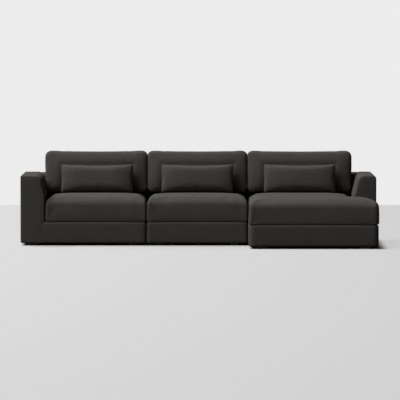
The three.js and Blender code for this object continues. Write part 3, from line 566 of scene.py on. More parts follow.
# The material of each slot, and the function that fills its shader
FINISHES = {
    "upholstery": ("brushed charcoal upholstery", upholstery_fabric),
    "deck_cloth": ("black deck cloth", deck_fabric),
    "webbing": ("elastic seat webbing", webbing_fabric),
    "dust_cloth": ("spun dust cloth", dust_fabric),
    "timber": ("planed hardwood", sawn_timber),
    "black_plastic": ("moulded black polypropylene", moulded_plastic),
    "steel": ("zinc-plated steel", zinc_steel),
}


def finish(slot):
    """The material of a slot, made when it is asked for first."""
    name, sockets = FINISHES[slot]
    if name in bpy.data.materials:
        return bpy.data.materials[name]
    return new_material(name, sockets)


def seen_directly(tree):
    """One where the camera, a reflection or a transmission looks, and zero for light that bounces."""
    ray = add_node(tree, "ShaderNodeLightPath", {})
    indirect = [ray["Is Glossy Ray"], ray["Is Transmission Ray"]]
    mirrored = add_node(tree, MATH, indirect, operation="MAXIMUM")[0]
    return add_node(tree, MATH, [ray["Is Camera Ray"], mirrored], operation="MAXIMUM")[0]


def beyond_sofa(tree, along, reach):
    """Share from zero within the sofa's plan to one at a reach outside it."""
    low, high = cad_bounds
    squares = []
    for axis in range(2):
        before = add_node(tree, MATH, [low[axis], along[axis]], operation="SUBTRACT")[0]
        after = add_node(tree, MATH, [along[axis], high[axis]], operation="SUBTRACT")[0]
        nearer = add_node(tree, MATH, [before, after], operation="MAXIMUM")[0]
        outside = add_node(tree, MATH, [nearer, 0.0], operation="MAXIMUM")[0]
        squares.append(add_node(tree, MATH, [outside, outside], operation="MULTIPLY")[0])
    square = add_node(tree, MATH, squares, operation="ADD")[0]
    far = add_node(tree, MATH, [square], operation="SQRT")[0]
    return add_node(tree, "ShaderNodeMapRange", {"Value": far, "From Min": 0.0, "From Max": reach},
                    interpolation_type="SMOOTHSTEP")["Result"]


def studio_paint(tree):
    """Matt painted studio floor: even, with no gloss. Its tone is painted shade that grows a little darker
    to the right, for light that falls off away from the lamps on the left. Where it is seen it is pale,
    and away from the sofa much of that is painted light: the floor glows by itself there, which washes
    out the sofa's cast shadow, while near and under the sofa only the lamps light it. It throws little
    light back up, as in a studio whose lamps are masked off from the floor."""
    studio = bpy.context.scene.sofa_studio
    pale = tuple(studio.floor)[:3]
    bounce = tuple(studio.floor_bounce)
    place = add_node(tree, "ShaderNodeTexCoord", {})["Object"]
    along = add_node(tree, "ShaderNodeSeparateXYZ", [place])
    seen = seen_directly(tree)
    # Painted shade: the floor's tone darkens to the right for light that falls off away from the left-hand
    # lamps.
    fall = add_node(tree, MATH, [along[0], -studio.painted_falloff_slope, 1.0], operation="MULTIPLY_ADD")[0]
    tone = add_node(tree, "ShaderNodeVectorMath", {0: pale, "Scale": fall}, operation="SCALE")["Vector"]
    # Painted light: outside the sofa's plan the floor glows by itself, up to the glow share, which washes out
    # the sofa's cast shadow; near and under the sofa there is no glow.
    away = beyond_sofa(tree, along, studio.painted_glow_reach)
    glow = add_node(tree, MATH, [away, studio.painted_floor_glow], operation="MULTIPLY")[0]
    painted = add_node(tree, MATH, [1.0, glow], operation="SUBTRACT")[0]
    lit = add_node(tree, "ShaderNodeVectorMath", {0: tone, "Scale": painted}, operation="SCALE")["Vector"]
    mixed = add_node(tree, "ShaderNodeMix", {0: seen, 6: bounce, 7: lit}, data_type="RGBA")[2]
    strength = add_node(tree, MATH, [glow, seen], operation="MULTIPLY")[0]
    return {
        "Base Color": mixed, "Roughness": 1.0, "Specular IOR Level": 0.0,
        "Emission Color": tone, "Emission Strength": strength,
    }


def arm_lean(module):
    """How far the inner face of a module's arm leans outwards."""
    covers = bpy.context.scene.sofa_covers
    return covers.right_arm_lean if module == "chaise" else covers.left_arm_lean


def module_sides(module):
    """Left and right edge of a module, swollen where it meets the next one."""
    swell = bpy.context.scene.sofa_covers.joint_swell
    low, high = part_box(f"{module}_base_cover")
    return low.x - swell * (module != "left"), high.x + swell * (module != "chaise")


def base_cover(module):
    """Padded cover of a base: plan outline carried upwards.

    Inset falls as rounding * (1 - sine) round the lower edge and grows as shoulder * (1 - cosine) round
    the upper one. Inside the rims the top and bottom step back, for the deck and the dust cloth."""
    covers = bpy.context.scene.sofa_covers
    low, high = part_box(f"{module}_base_cover")
    front = covers.chaise_corner if module == "chaise" else covers.base_corner
    radii = [covers.firm_corner if module == "left" else front, front, covers.firm_corner, covers.firm_corner]
    left, right = module_sides(module)
    corners = [(left, low.y), (right, low.y), (right, high.y), (left, high.y)]
    rounding = covers.base_rounding
    shoulder = covers.base_shoulder
    bottom = low.z - covers.base_hang
    turn = quarter(6)
    lower_rim = 0.022
    lower_step = 0.004
    upper_step = 0.006
    slope = 0.002
    wall = np.linspace(bottom + rounding, high.z - shoulder, 7)[1:-1]
    profile = [
        (lower_rim + 2 * slope, low.z + lower_step),
        (lower_rim + slope, low.z + lower_step),
        (lower_rim, bottom),
        np.stack([rounding * (1 - np.sin(turn)), bottom + rounding * (1 - np.cos(turn))], axis=1),
        np.stack([np.zeros_like(wall), wall], axis=1),
        np.stack([shoulder * (1 - np.cos(turn)), high.z - shoulder * (1 - np.sin(turn))], axis=1),
        (covers.deck_rim, high.z),
        (covers.deck_rim + slope, high.z - upper_step),
        (covers.deck_rim + 2 * slope, high.z - upper_step),
    ]
    return carried_outline(f"{module}_base_upholstery", corners, radii, profile, [0, 1, 2])


def panel_profile(start, stop, rounding, seam_width, seam_depth):
    """(inset, level) pairs from one end panel to the other: a sewn groove and a rounded edge at each.

    The groove's points lie so many seam widths inside the rounding and so many seam depths in."""
    groove_shares = ((4, 0), (1.5, 0), (1, 1), (0.5, 0))
    turn = quarter(6)
    way = math.copysign(1, stop - start)
    ends = []
    for end, inwards in ((start, way), (stop, -way)):
        groove = [
            (rounding + wide * seam_width, end + inwards * deep * seam_depth)
            for wide, deep in groove_shares
        ]
        levels = end + inwards * rounding * (1 - np.cos(turn))
        edge = np.stack([rounding * (1 - np.sin(turn)), levels], axis=1)
        ends.append(np.concatenate([groove, edge]))
    first, last = ends
    middle = np.linspace(first[-1][1], last[-1][1], 9)[1:-1]
    return [first, np.stack([np.zeros_like(middle), middle], axis=1), last[::-1]]


def arm_cover(module):
    """Padded cover of an arm, from the base's lower edge to the arm's top: its section carried backwards
    between two sewn end panels. It stands a tenth of a millimetre proud of the base, so that the front
    and the side of the sofa read as one cloth."""
    covers = bpy.context.scene.sofa_covers
    side = ARM_SIDES[module]
    low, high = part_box(f"{module}_arm_cover")
    proud = 0.0001
    outer = (high.x if side > 0 else low.x) + side * proud
    inner = low.x if side > 0 else high.x
    leant = inner + side * arm_lean(module)
    shoulder = covers.right_outer_shoulder if side > 0 else covers.left_outer_shoulder
    inner_shoulder = covers.right_inner_shoulder if side > 0 else covers.left_inner_shoulder
    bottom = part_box(f"{module}_base_cover")[0].z - covers.base_hang
    top = high.z + covers.arm_crown
    corners = [(outer, bottom), (inner, bottom), (inner, covers.kink_height), (leant, top), (outer, top)]
    radii = [covers.base_rounding + proud, covers.base_rounding, KINK_RADIUS, inner_shoulder, shoulder]
    edge_shares = [0.75, 1.6, 1.6, 1.4, 0.9]
    profile = panel_profile(low.y - proud, high.y, covers.end_rounding, covers.seam_width, covers.seam_depth)
    return carried_outline(f"{module}_arm_upholstery", corners, radii, profile, [0, 2, 1], edge_shares)


def back_cover(module):
    """Padded cover of a back: its section carried sideways. Beside an arm it ends inside the arm's cover."""
    covers = bpy.context.scene.sofa_covers
    low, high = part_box(f"{module}_back_cover")
    start, stop = module_sides(module)
    tuck = 0.030
    below_arm = 0.0008
    sunk = 0.002
    rear_ease = 0.002
    if module == "left":
        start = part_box("left_arm_cover")[1].x - arm_lean(module) - tuck
    if module == "chaise":
        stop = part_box("chaise_arm_cover")[0].x + arm_lean(module) + tuck
    top = high.z - below_arm
    corners = [(low.y, low.z - sunk), (high.y, low.z - sunk), (high.y, top),
               (low.y + covers.back_lean, top), (low.y, covers.kink_height)]
    rear_radius = covers.end_rounding + rear_ease
    radii = [rear_radius, rear_radius, rear_radius, covers.back_shoulder, KINK_RADIUS]
    profile = panel_profile(start, stop, covers.end_rounding, covers.seam_width, covers.seam_depth)
    return carried_outline(f"{module}_back_upholstery", corners, radii, profile, [2, 0, 1])


def outside_back(module):
    """Cloth panel sewn over the rear of a module, from the base's lower edge to the top of the back."""
    covers = bpy.context.scene.sofa_covers
    low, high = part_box(f"{module}_base_cover")
    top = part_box(f"{module}_back_cover")[1].z
    left, right = module_sides(module)
    overlap = 0.002
    margin = covers.end_rounding - overlap
    corner_radius = 0.012
    rim = 0.0026
    stitch_depth = 0.0012
    stitch_shares = ((2.5, 0), (3.2, 1), (4, 0), (6, 0))
    sunk = 0.003
    corners = [(left + margin, low.z), (right - margin, low.z),
               (right - margin, top - margin), (left + margin, top - margin)]
    turn = quarter(4)
    rear = high.y + rim
    profile = [
        (2 * rim, high.y - sunk),
        (0.0, high.y - sunk),
        np.stack([rim * (1 - np.cos(turn)), rear - rim * (1 - np.sin(turn))], axis=1),
        [(wide * rim, rear - deep * stitch_depth) for wide, deep in stitch_shares],
    ]
    return carried_outline(f"{module}_outside_back", corners, corner_radius, profile, [0, 2, 1])


def surface_grid(name, across, upright, place):
    """A closed sheet: place(u, v) gives the two faces of a grid, and a band of quads joins their rims."""
    u, v = np.meshgrid(across, upright)
    upper, lower = place(u, v)
    rows, columns = u.shape
    points = np.concatenate([upper.reshape(-1, 3), lower.reshape(-1, 3)])
    index = np.arange(rows * columns).reshape(rows, columns)
    top = np.stack([index[:-1, :-1], index[:-1, 1:], index[1:, 1:], index[1:, :-1]], axis=-1).reshape(-1, 4)
    bottom = top[:, ::-1] + rows * columns
    rim = np.concatenate([index[0, :-1], index[:-1, -1], index[-1, :0:-1], index[:0:-1, 0]])
    after = np.roll(rim, -1)
    band = np.stack([rim + rows * columns, after + rows * columns, after, rim], axis=-1)
    return new_piece(name, points, np.concatenate([top, bottom, band]).tolist())


def deck_panel(module):
    """Deck cloth over the webbing. It dips between the straps by dip times the mean of (1 - cosine) / 2
    along X and along Y, and towards its rim that wave fades into an even fall."""
    low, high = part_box(f"{module}_deck")
    tuck = 0.06
    pitch = 0.17
    dip = 0.0025
    skin = 0.0012
    rim_width = 0.03
    rim_fall = 0.001
    underside_drop = 0.0058
    side = ARM_SIDES.get(module, 0)
    x = [low.x - (tuck if side < 0 else 0), high.x + (tuck if side > 0 else 0)]
    y = [low.y, high.y + tuck]
    top = high.z - skin
    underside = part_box(f"{module}_base_cover")[1].z - underside_drop

    def place(u, v):
        to_rim = np.minimum(np.minimum(u - x[0], x[1] - u), np.minimum(v - y[0], y[1] - v))
        inside = np.clip(to_rim / rim_width, 0, 1)
        wave_x = np.cos((u - x[0]) * math.tau / pitch)
        wave_y = np.cos((v - y[0]) * math.tau / pitch)
        wave = 0.5 - 0.25 * wave_x - 0.25 * wave_y
        upper = np.stack([u, v, top - dip * wave * inside - rim_fall * (1 - inside)], axis=-1)
        return upper, np.stack([u, v, np.full_like(u, underside)], axis=-1)

    steps = 60
    return surface_grid(f"{module}_deck_cloth", np.linspace(*x, steps), np.linspace(*y, steps), place)


def dust_sheet(module):
    """Dust cloth stretched under a base: it hangs by a parabola in each direction between its staples."""
    low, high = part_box(f"{module}_dust_cover")
    thickness = 0.0008
    sag = 0.0012
    steps = 30

    def place(u, v):
        s = 2 * (u - low.x) / (high.x - low.x) - 1
        t = 2 * (v - low.y) / (high.y - low.y) - 1
        level = high.z - sag * (1 - s * s) * (1 - t * t)
        return np.stack([u, v, level], axis=-1), np.stack([u, v, level - thickness], axis=-1)

    across = np.linspace(low.x, high.x, steps)
    upright = np.linspace(low.y, high.y, steps)
    return surface_grid(f"{module}_dust_cloth", across, upright, place), (high.x - low.x, high.y - low.y)


def crown_share(corners, points, reach, power=2.5):
    """Share of the crown at each point: the product over the sides of 1 - (1 - distance / reach) ** power."""
    corners = np.asarray(corners, float)
    share = np.ones(points.shape[:-1])
    for start, end in zip(corners, np.roll(corners, -1, axis=0)):
        run = end - start
        along = np.clip(((points - start) @ run) / (run @ run), 0, 1)
        distance = np.linalg.norm(points - (start + along[..., None] * run), axis=-1)
        share *= 1 - (1 - np.minimum(distance / reach, 1)) ** power
    return share


def boxed_cushion(corners, radii, draws, lower_radius, edge_height, edge_reach, edge_drop,
                  crown, crown_reach, rows_reach, seam_draw, wall_taper, shares=1.0):
    """Rings of a boxed cushion in its own plan: a rounded lower edge, a wall that swells as a half sine
    between its seams and draws in evenly towards the lower one, a soft upper edge that is a quarter
    ellipse, as wide on each side as its share says, and a crown over all above the wall. The lower face
    closes flat from a tuck inside the lower edge."""
    tuck = 0.02

    def swell(height):
        share = np.minimum(height / edge_height, 1)
        return seam_draw * (1 - np.sin(np.pi * share)) + wall_taper * (1 - share)

    turn = quarter(8)
    lower = lower_radius * (1 - np.cos(turn))
    wall = np.linspace(lower_radius, edge_height, 12)[1:-1]
    upper = quarter(12)
    slope = np.linspace(edge_reach, rows_reach, 14)[1:]
    insets = np.concatenate([
        [lower_radius + seam_draw + wall_taper + tuck],
        lower_radius * (1 - np.sin(turn)) + swell(lower),
        swell(wall),
        edge_reach * (1 - np.cos(upper)) + seam_draw,
        np.full(len(slope), edge_reach + seam_draw),
    ])
    even = np.concatenate([np.zeros(len(insets) - len(slope)), slope - edge_reach])
    heights = np.concatenate([
        [0.0], lower, wall, edge_height + edge_drop * np.sin(upper),
        np.full(len(slope), edge_height + edge_drop),
    ])
    plan = outline_rings(corners, radii, insets, draws, shares, even, turn_steps=8, side_steps=36)
    crowned = heights >= edge_height
    rise = np.where(crowned[:, None], crown * crown_share(corners, plan, crown_reach), 0)
    return np.concatenate([plan, (heights[:, None] + rise)[..., None]], axis=2)


def seat_cushion(module):
    """Seat cushion: a boxed cushion whose plan fills the seat, L-shaped in front of the chaise's arm."""
    seats = bpy.context.scene.sofa_seats
    low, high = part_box(f"{module}_seat_cushion")
    corners = [(low.x, low.y), (high.x, low.y), (high.x, high.y), (low.x, high.y)]
    radii = [seats.corner_radius] * 4
    edge_shares = [1, seats.side_share, 1, seats.side_share]
    if module == "chaise":
        arm_low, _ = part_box("chaise_arm_cover")
        clearance = 0.004
        inner_radius = 0.012
        corners[2:2] = [(high.x, arm_low.y - clearance), (arm_low.x - clearance, arm_low.y - clearance)]
        corners[4] = (arm_low.x - clearance, high.y)
        radii = [seats.chaise_corner] * 2 + [seats.corner_radius, inner_radius] + [seats.corner_radius] * 2
        edge_shares = [1] + [seats.side_share] * 3 + [1, seats.side_share]
    crown = high.z - low.z - seats.edge_height - seats.edge_drop
    rings = boxed_cushion(corners, radii, seats.side_draw, seats.lower_radius,
                          seats.edge_height, seats.edge_reach, seats.edge_drop,
                          crown, seats.crown_reach, seats.rows_reach,
                          seats.seam_draw, seats.wall_taper, edge_shares)
    rings[..., 2] += low.z
    return closed_stack(f"{module}_seat_cushion_cover", rings)


def back_lean_slope():
    """How far the back's front face goes back for each metre up."""
    covers = bpy.context.scene.sofa_covers
    return covers.back_lean / (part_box("middle_back_cover")[1].z - covers.kink_height)


def back_cushion(module):
    """Back cushion: a boxed cushion stood on its lower side, its rear parallel to the leaning back."""
    backs = bpy.context.scene.sofa_backs
    covers = bpy.context.scene.sofa_covers
    low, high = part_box(f"{module}_back_cushion")
    height = high.z - low.z
    corners = [(low.x, 0), (high.x, 0), (high.x, height), (low.x, height)]
    draws = [0, backs.side_draw, backs.top_sag, backs.side_draw]
    rings = boxed_cushion(corners, backs.corner_radius, draws, backs.rear_radius,
                          backs.thickness - backs.edge, backs.edge, backs.edge,
                          backs.crown, backs.crown_reach, backs.rows_reach, 0.0, 0.0)
    slope = back_lean_slope()
    clearance = 0.0005
    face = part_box("middle_back_cover")[0].y + slope * (low.z - covers.kink_height) - clearance
    depth = face + slope * rings[..., 1] - rings[..., 2]
    points = np.stack([rings[..., 0], depth, low.z + rings[..., 1]], axis=2)
    return closed_stack(f"{module}_back_cushion_cover", points)


def lumbar_pillow(module):
    """Lumbar pillow: two faces over one outline, each half the thickness times
    (1 - u ** fullness) ** power times the same of v, with the outline drawn in along its seams."""
    pillows = bpy.context.scene.sofa_pillows
    low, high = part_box(f"{module}_lumbar_pillow")
    across = np.sin(np.linspace(-1, 1, 61) * math.pi / 2)
    upright = np.sin(np.linspace(-1, 1, 33) * math.pi / 2)

    def place(u, v):
        swell = ((1 - u ** pillows.fullness) * (1 - v ** pillows.fullness)).clip(0) ** pillows.edge_power
        half = pillows.thickness / 2 * swell
        x = u * (pillows.width / 2 - pillows.side_draw * (1 - v * v))
        z = v * pillows.height / 2 - pillows.top_sag * (1 - u * u) * v.clip(0)
        sheets = []
        for face in (-1, 1):
            y = face * half
            sheets.append(np.stack([
                x, y * math.cos(pillows.lean) + z * math.sin(pillows.lean),
                z * math.cos(pillows.lean) - y * math.sin(pillows.lean)], axis=-1))
        return sheets

    piece = surface_grid(f"{module}_lumbar_pillow_cover", across, upright, place)
    points = get_points(piece.data)
    middle = (points.min(axis=0) + points.max(axis=0)) / 2
    set_points(piece.data, points - middle + np.array((low + high) / 2))
    return piece


def merge_rims(piece):
    """Welds coincident points and drops the faces that fold shut there, and turns all faces outwards."""
    work = bmesh.new()
    work.from_mesh(piece.data)
    bmesh.ops.remove_doubles(work, verts=work.verts, dist=1e-5)
    bmesh.ops.dissolve_degenerate(work, edges=work.edges, dist=1e-6)
    bmesh.ops.recalc_face_normals(work, faces=work.faces)
    work.to_mesh(piece.data)
    work.free()
    piece.data.shade_smooth()


def stuff_covers(covers):
    """Stuffs all covers in one run of cloth frames.

    covers holds (piece, settings, held), where held says whether the cloth is held still along its
    lower edge, from a height of held_rise up over held_fade. Neighbours and inner ties let a cushion
    keep only its own shares of the move, and the move is capped smoothly: cap * tanh(move / cap)."""
    held_rise = 0.006
    held_fade = 0.012
    cloth = bpy.context.scene.sofa_cloth
    scene = bpy.context.scene
    before = {}
    for piece, settings, held in covers:
        remesh = piece.modifiers.new("Remesh", "REMESH")
        remesh.mode = "VOXEL"
        remesh.voxel_size = settings.voxel
        smooth = piece.modifiers.new("Smooth", "SMOOTH")
        smooth.factor = 0.5
        smooth.iterations = 4
        apply_modifiers(piece)
        points = get_points(piece.data)
        before[piece.name] = points
        group = piece.vertex_groups.new(name="held")
        rise = points[:, 2] - points[:, 2].min() - held_rise
        weights = np.round(np.clip(1 - rise / held_fade, 0, 1) * held, 1)
        for weight in np.unique(weights):
            group.add(np.flatnonzero(weights == weight).tolist(), float(weight), "REPLACE")
        modifier = piece.modifiers.new("Stuffing", "CLOTH")
        modifier.settings.quality = 4
        modifier.settings.use_pressure = True
        modifier.settings.uniform_pressure_force = cloth.pressure
        modifier.settings.effector_weights.gravity = 0
        modifier.settings.vertex_group_mass = "held"
        modifier.collision_settings.use_collision = False
        modifier.point_cache.frame_start = 1
        modifier.point_cache.frame_end = cloth.steps
    for step in range(1, cloth.steps + 1):
        scene.frame_set(step)
    for piece, settings, _ in covers:
        graph = bpy.context.evaluated_depsgraph_get()
        after = get_points(piece.evaluated_get(graph).data)
        start = before[piece.name]
        move = (after - start) * tuple(settings.swell_shares)
        far = np.maximum(np.linalg.norm(move, axis=1, keepdims=True), 1e-9)
        piece.modifiers.clear()
        piece.vertex_groups.clear()
        set_points(piece.data, start + move / far * settings.swell_cap * np.tanh(far / settings.swell_cap))
    scene.frame_set(1)


def fit_box(piece, node, left_swell, right_swell):
    """Scales a stuffed cover along each axis to the box of its CAD node, grown sideways by the swells."""
    low, high = (np.array(corner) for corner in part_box(node))
    points = get_points(piece.data)
    start, stop = points.min(axis=0), points.max(axis=0)
    low[0] -= left_swell
    high[0] += right_swell
    set_points(piece.data, low + (points - start) / (stop - start) * (high - low))


def settle_edge(piece, height):
    """Flattens a cushion's lower edge under its weight: below the height, what stood at t times the
    height goes down to t**3 * (3 - 2 * t) times it."""
    points = get_points(piece.data)
    low = points[:, 2].min()
    t = (points[:, 2] - low) / height
    points[:, 2] = np.where(t < 1, low + height * t ** 3 * (3 - 2 * t), points[:, 2])
    set_points(piece.data, points)


def droop_over_shoulder(piece):
    """Lets the front lower edge hang over the base's shoulder: by droop times (1 - depth / shoulder)
    squared times (1 - height / settling), where both are short of one."""
    seats = bpy.context.scene.sofa_seats
    shoulder = bpy.context.scene.sofa_covers.base_shoulder
    points = get_points(piece.data)
    depth = np.minimum((points[:, 1] - points[:, 1].min()) / shoulder, 1)
    height = np.minimum((points[:, 2] - points[:, 2].min()) / seats.settling, 1)
    points[:, 2] -= seats.droop * (1 - depth) ** 2 * (1 - height)
    set_points(piece.data, points)


def dent_by_pillow(piece, module):
    """Presses the front of a back cushion in where the lumbar pillow leans on it.

    The depth falls as (1 - distance / reach) squared round the pillow's outline and, through the
    cushion's thickness, evenly to nothing at its rear."""
    backs = bpy.context.scene.sofa_backs
    low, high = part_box(f"{module}_lumbar_pillow")
    points = get_points(piece.data)
    beside = np.maximum(np.maximum(low.x - points[:, 0], points[:, 0] - high.x), 0)
    above = np.maximum(points[:, 2] - high.z, 0)
    pressed = (1 - np.minimum(np.hypot(beside, above) / backs.dent_reach, 1)) ** 2
    rear = points[:, 1].max() + back_lean_slope() * (points[:, 2] - points[:, 2].max())
    frontness = np.clip((rear - points[:, 1]) / backs.thickness, 0, 1)
    points[:, 1] += backs.dent * pressed * frontness
    set_points(piece.data, points)


def press_flat(piece, point, normal, upto=None):
    """Moves what lies behind a plane onto it, as where a cushion is pressed against a firm face."""
    points = get_points(piece.data)
    normal = np.asarray(normal, float) / np.linalg.norm(normal)
    behind = np.minimum((points - np.asarray(point, float)) @ normal, 0)
    if upto is not None:
        behind = behind * (points[:, 2] < upto)
    set_points(piece.data, points - behind[:, None] * normal)


def press_at_seams(piece, module):
    """Flattens the sides of a cushion where it meets the next module's."""
    low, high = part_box(f"{module}_base_cover")
    gap = 0.0018
    if module != "left":
        press_flat(piece, (low.x - gap, 0, 0), (1, 0, 0))
    if module != "chaise":
        press_flat(piece, (high.x + gap, 0, 0), (-1, 0, 0))


def press_against_arm(piece, module):
    """Presses a back cushion flat against the leaning inner face of the arm beside it."""
    side = ARM_SIDES.get(module)
    if side is None:
        return
    covers = bpy.context.scene.sofa_covers
    low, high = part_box(f"{module}_arm_cover")
    inner = low.x if side > 0 else high.x
    clearance = 0.001
    press_flat(piece, (inner - side * clearance, 0, covers.kink_height),
               (-side * (high.z - covers.kink_height), 0, arm_lean(module)), upto=high.z)


def finish_cushion(piece):
    """Smooths a stuffed cover by subdivision."""
    smooth = piece.modifiers.new("Subdivision", "SUBSURF")
    smooth.levels = 1
    smooth.render_levels = 1


class SOFA_OT_base_covers(bpy.types.Operator):
    """Upholster the three bases"""
    bl_idname = "sofa.base_covers"
    bl_label = "Base covers"

    def execute(self, context):
        for module in MODULES:
            fabric_piece(base_cover(module), f"{module}_base_cover", "upholstery")
        return {"FINISHED"}


class SOFA_OT_arm_covers(bpy.types.Operator):
    """Upholster the two arms"""
    bl_idname = "sofa.arm_covers"
    bl_label = "Arm covers"

    def execute(self, context):
        for module in ARM_SIDES:
            fabric_piece(arm_cover(module), f"{module}_arm_cover", "upholstery")
        return {"FINISHED"}


class SOFA_OT_back_covers(bpy.types.Operator):
    """Upholster the three backs and sew the outside back panels on"""
    bl_idname = "sofa.back_covers"
    bl_label = "Back covers"

    def execute(self, context):
        for module in MODULES:
            fabric_piece(back_cover(module), f"{module}_back_cover", "upholstery")
            panel = outside_back(module)
            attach(panel, "root")
            panel.data.materials.append(finish("upholstery"))
        return {"FINISHED"}


class SOFA_OT_decks(bpy.types.Operator):
    """Lay the deck cloths and stretch the dust cloths"""
    bl_idname = "sofa.decks"
    bl_label = "Decks and dust cloths"

    def execute(self, context):
        for module in MODULES:
            fabric_piece(deck_panel(module), f"{module}_deck", "deck_cloth")
            sheet, flat = dust_sheet(module)
            fabric_piece(sheet, f"{module}_dust_cover", "dust_cloth")
        return {"FINISHED"}


class SOFA_OT_seat_cushions(bpy.types.Operator):
    """Sew the covers of the three seat cushions"""
    bl_idname = "sofa.seat_cushions"
    bl_label = "Seat cushion covers"

    def execute(self, context):
        for module in MODULES:
            seat_cushion(module)
        return {"FINISHED"}


class SOFA_OT_back_cushions(bpy.types.Operator):
    """Sew the covers of the three back cushions"""
    bl_idname = "sofa.back_cushions"
    bl_label = "Back cushion covers"

    def execute(self, context):
        for module in MODULES:
            back_cushion(module)
        return {"FINISHED"}


class SOFA_OT_lumbar_pillows(bpy.types.Operator):
    """Sew the covers of the three lumbar pillows"""
    bl_idname = "sofa.lumbar_pillows"
    bl_label = "Lumbar pillow covers"

    def execute(self, context):
        for module in MODULES:
            merge_rims(lumbar_pillow(module))
        return {"FINISHED"}


class SOFA_OT_stuffing(bpy.types.Operator):
    """Stuff the nine covers and settle them against the arms, the backs and each other"""
    bl_idname = "sofa.stuffing"
    bl_label = "Stuffing"

    def execute(self, context):
        # Settings of each kind, and how full it is
        kinds = {
            "seat_cushion": (context.scene.sofa_seats, 0.85),
            "back_cushion": (context.scene.sofa_backs, 0.75),
            "lumbar_pillow": (context.scene.sofa_pillows, 0.7),
        }
        covers = [
            (bpy.data.objects[f"{module}_{kind}_cover"], module, kind)
            for kind in kinds for module in MODULES
        ]
        stuff_covers([(piece, kinds[kind][0], kind == "seat_cushion") for piece, _, kind in covers])
        for piece, module, kind in covers:
            settings, fill = kinds[kind]
            left_swell = settings.side_swell * (module != "left")
            right_swell = settings.side_swell * (module != "chaise")
            if kind == "seat_cushion":
                settle_edge(piece, settings.settling)
                right_swell = settings.free_swell if module == "chaise" else right_swell
            fit_box(piece, f"{module}_{kind}", left_swell, right_swell)
            press_at_seams(piece, module)
            if kind == "seat_cushion":
                droop_over_shoulder(piece)
            if kind == "back_cushion":
                dent_by_pillow(piece, module)
                press_against_arm(piece, module)
            fabric_piece(piece, f"{module}_{kind}", "upholstery")
            finish_cushion(piece)
        return {"FINISHED"}


class SOFA_OT_hardware(bpy.types.Operator):
    """Give the frames, webbing, feet and connectors their finishes"""
    bl_idname = "sofa.hardware"
    bl_label = "Frames, feet and connectors"

    def execute(self, context):
        for part in frame["record"]["subparts"]:
            if part["material_slot"] in HARDWARE:
                for slot in frame["nodes"][part["node"]].material_slots:
                    slot.material = finish(part["material_slot"])
        return {"FINISHED"}


class SOFA_OT_studio(bpy.types.Operator):
    """Set up the floor, the wall tone, the lamps and the camera"""
    bl_idname = "sofa.studio"
    bl_label = "Studio"

    def execute(self, context):
        scene = context.scene
        studio = scene.sofa_studio
        make_floor(studio)
        make_world(scene, studio)
        for name, (strength, way) in LAMPS.items():
            make_lamp(name, studio, getattr(studio, strength), way)
        make_camera(scene, studio)
        scene.view_settings.view_transform = "Standard"
        return {"FINISHED"}


def make_floor(studio):
    """A plain pale floor, a flat rectangle under the sofa."""
    reach, rear = studio.floor_reach, studio.floor_rear
    points = [(-reach, -reach, 0), (reach, -reach, 0), (reach, rear, 0), (-reach, rear, 0)]
    floor = new_piece("studio_floor", points, [(0, 1, 2, 3)])
    floor.data.materials.append(new_material("matt studio floor", studio_paint))


def make_world(scene, studio):
    """Light from all round, and the wall's tone where the camera or a reflection sees the world."""
    world = bpy.data.worlds.new("studio wall")
    scene.world = world
    world.use_nodes = True
    tree = world.node_tree
    tree.nodes.clear()
    around = add_node(tree, "ShaderNodeBackground", {"Color": (1, 1, 1, 1), "Strength": studio.ambient})[0]
    wall = add_node(tree, "ShaderNodeBackground", {"Color": tuple(studio.wall), "Strength": 1.0})[0]
    mixed = add_node(tree, "ShaderNodeMixShader", [seen_directly(tree), around, wall])[0]
    add_node(tree, "ShaderNodeOutputWorld", {"Surface": mixed})


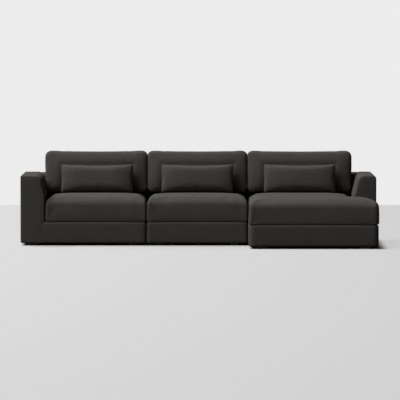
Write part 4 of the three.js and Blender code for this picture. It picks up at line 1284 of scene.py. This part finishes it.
def make_lamp(name, studio, light, way):
    """A square soft lamp that faces the middle of the sofa and is hidden from the camera.

    A lamp of power p gives a white surface that faces it from a distance d the tone p / (pi * d) ** 2."""
    data = bpy.data.lights.new(name, "AREA")
    distance = studio.lamp_distance
    data.energy = light * (math.pi * distance) ** 2
    data.size = studio.lamp_spread * distance
    lamp = bpy.data.objects.new(name, data)
    bpy.context.collection.objects.link(lamp)
    towards = Vector(way).normalized()
    middle_height = 0.4
    middle = Vector((0, 0, middle_height))
    lamp.location = middle + distance * towards
    lamp.rotation_euler = towards.to_track_quat("Z", "Y").to_euler()
    lamp.visible_camera = False


def make_camera(scene, studio):
    """A long lens in front of the sofa, a little above it, as the photograph's framing has it."""
    data = bpy.data.cameras.new("camera")
    data.lens = studio.lens
    camera = bpy.data.objects.new("camera", data)
    scene.collection.objects.link(camera)
    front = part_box("middle_base_cover")[0].y
    camera.location = (studio.camera_x, front - studio.camera_distance, studio.camera_height)
    aim = Vector((studio.camera_x, front, studio.aim_height)) - camera.location
    camera.rotation_euler = aim.to_track_quat("-Z", "Y").to_euler()
    sight = 200.0
    data.clip_end = sight
    scene.camera = camera


STEPS = (
    SOFA_OT_base_covers,
    SOFA_OT_arm_covers,
    SOFA_OT_back_covers,
    SOFA_OT_decks,
    SOFA_OT_seat_cushions,
    SOFA_OT_back_cushions,
    SOFA_OT_lumbar_pillows,
    SOFA_OT_stuffing,
    SOFA_OT_hardware,
    SOFA_OT_studio,
)


class SOFA_PT_panel(bpy.types.Panel):
    """Lists the steps and the settings of the sofa"""
    bl_idname = "SOFA_PT_panel"
    bl_label = "Sectional sofa"
    bl_space_type = "VIEW_3D"
    bl_region_type = "UI"
    bl_category = "Sofa"

    def draw(self, context):
        for step in STEPS:
            self.layout.operator(step.bl_idname)
        for name, kind in SETTINGS.items():
            box = self.layout.box()
            for key in kind.__annotations__:
                box.prop(getattr(context.scene, name), key)


def register():
    for kind in (*SETTINGS.values(), *STEPS, SOFA_PT_panel):
        bpy.utils.register_class(kind)
    for name, kind in SETTINGS.items():
        setattr(bpy.types.Scene, name, PointerProperty(type=kind))


def unregister():
    for name in SETTINGS:
        delattr(bpy.types.Scene, name)
    for kind in reversed((*SETTINGS.values(), *STEPS, SOFA_PT_panel)):
        bpy.utils.unregister_class(kind)


def main():
    register()
    for step in STEPS:
        group, name = step.bl_idname.split(".")
        getattr(getattr(bpy.ops, group), name)()


if __name__ == "__main__":
    main()
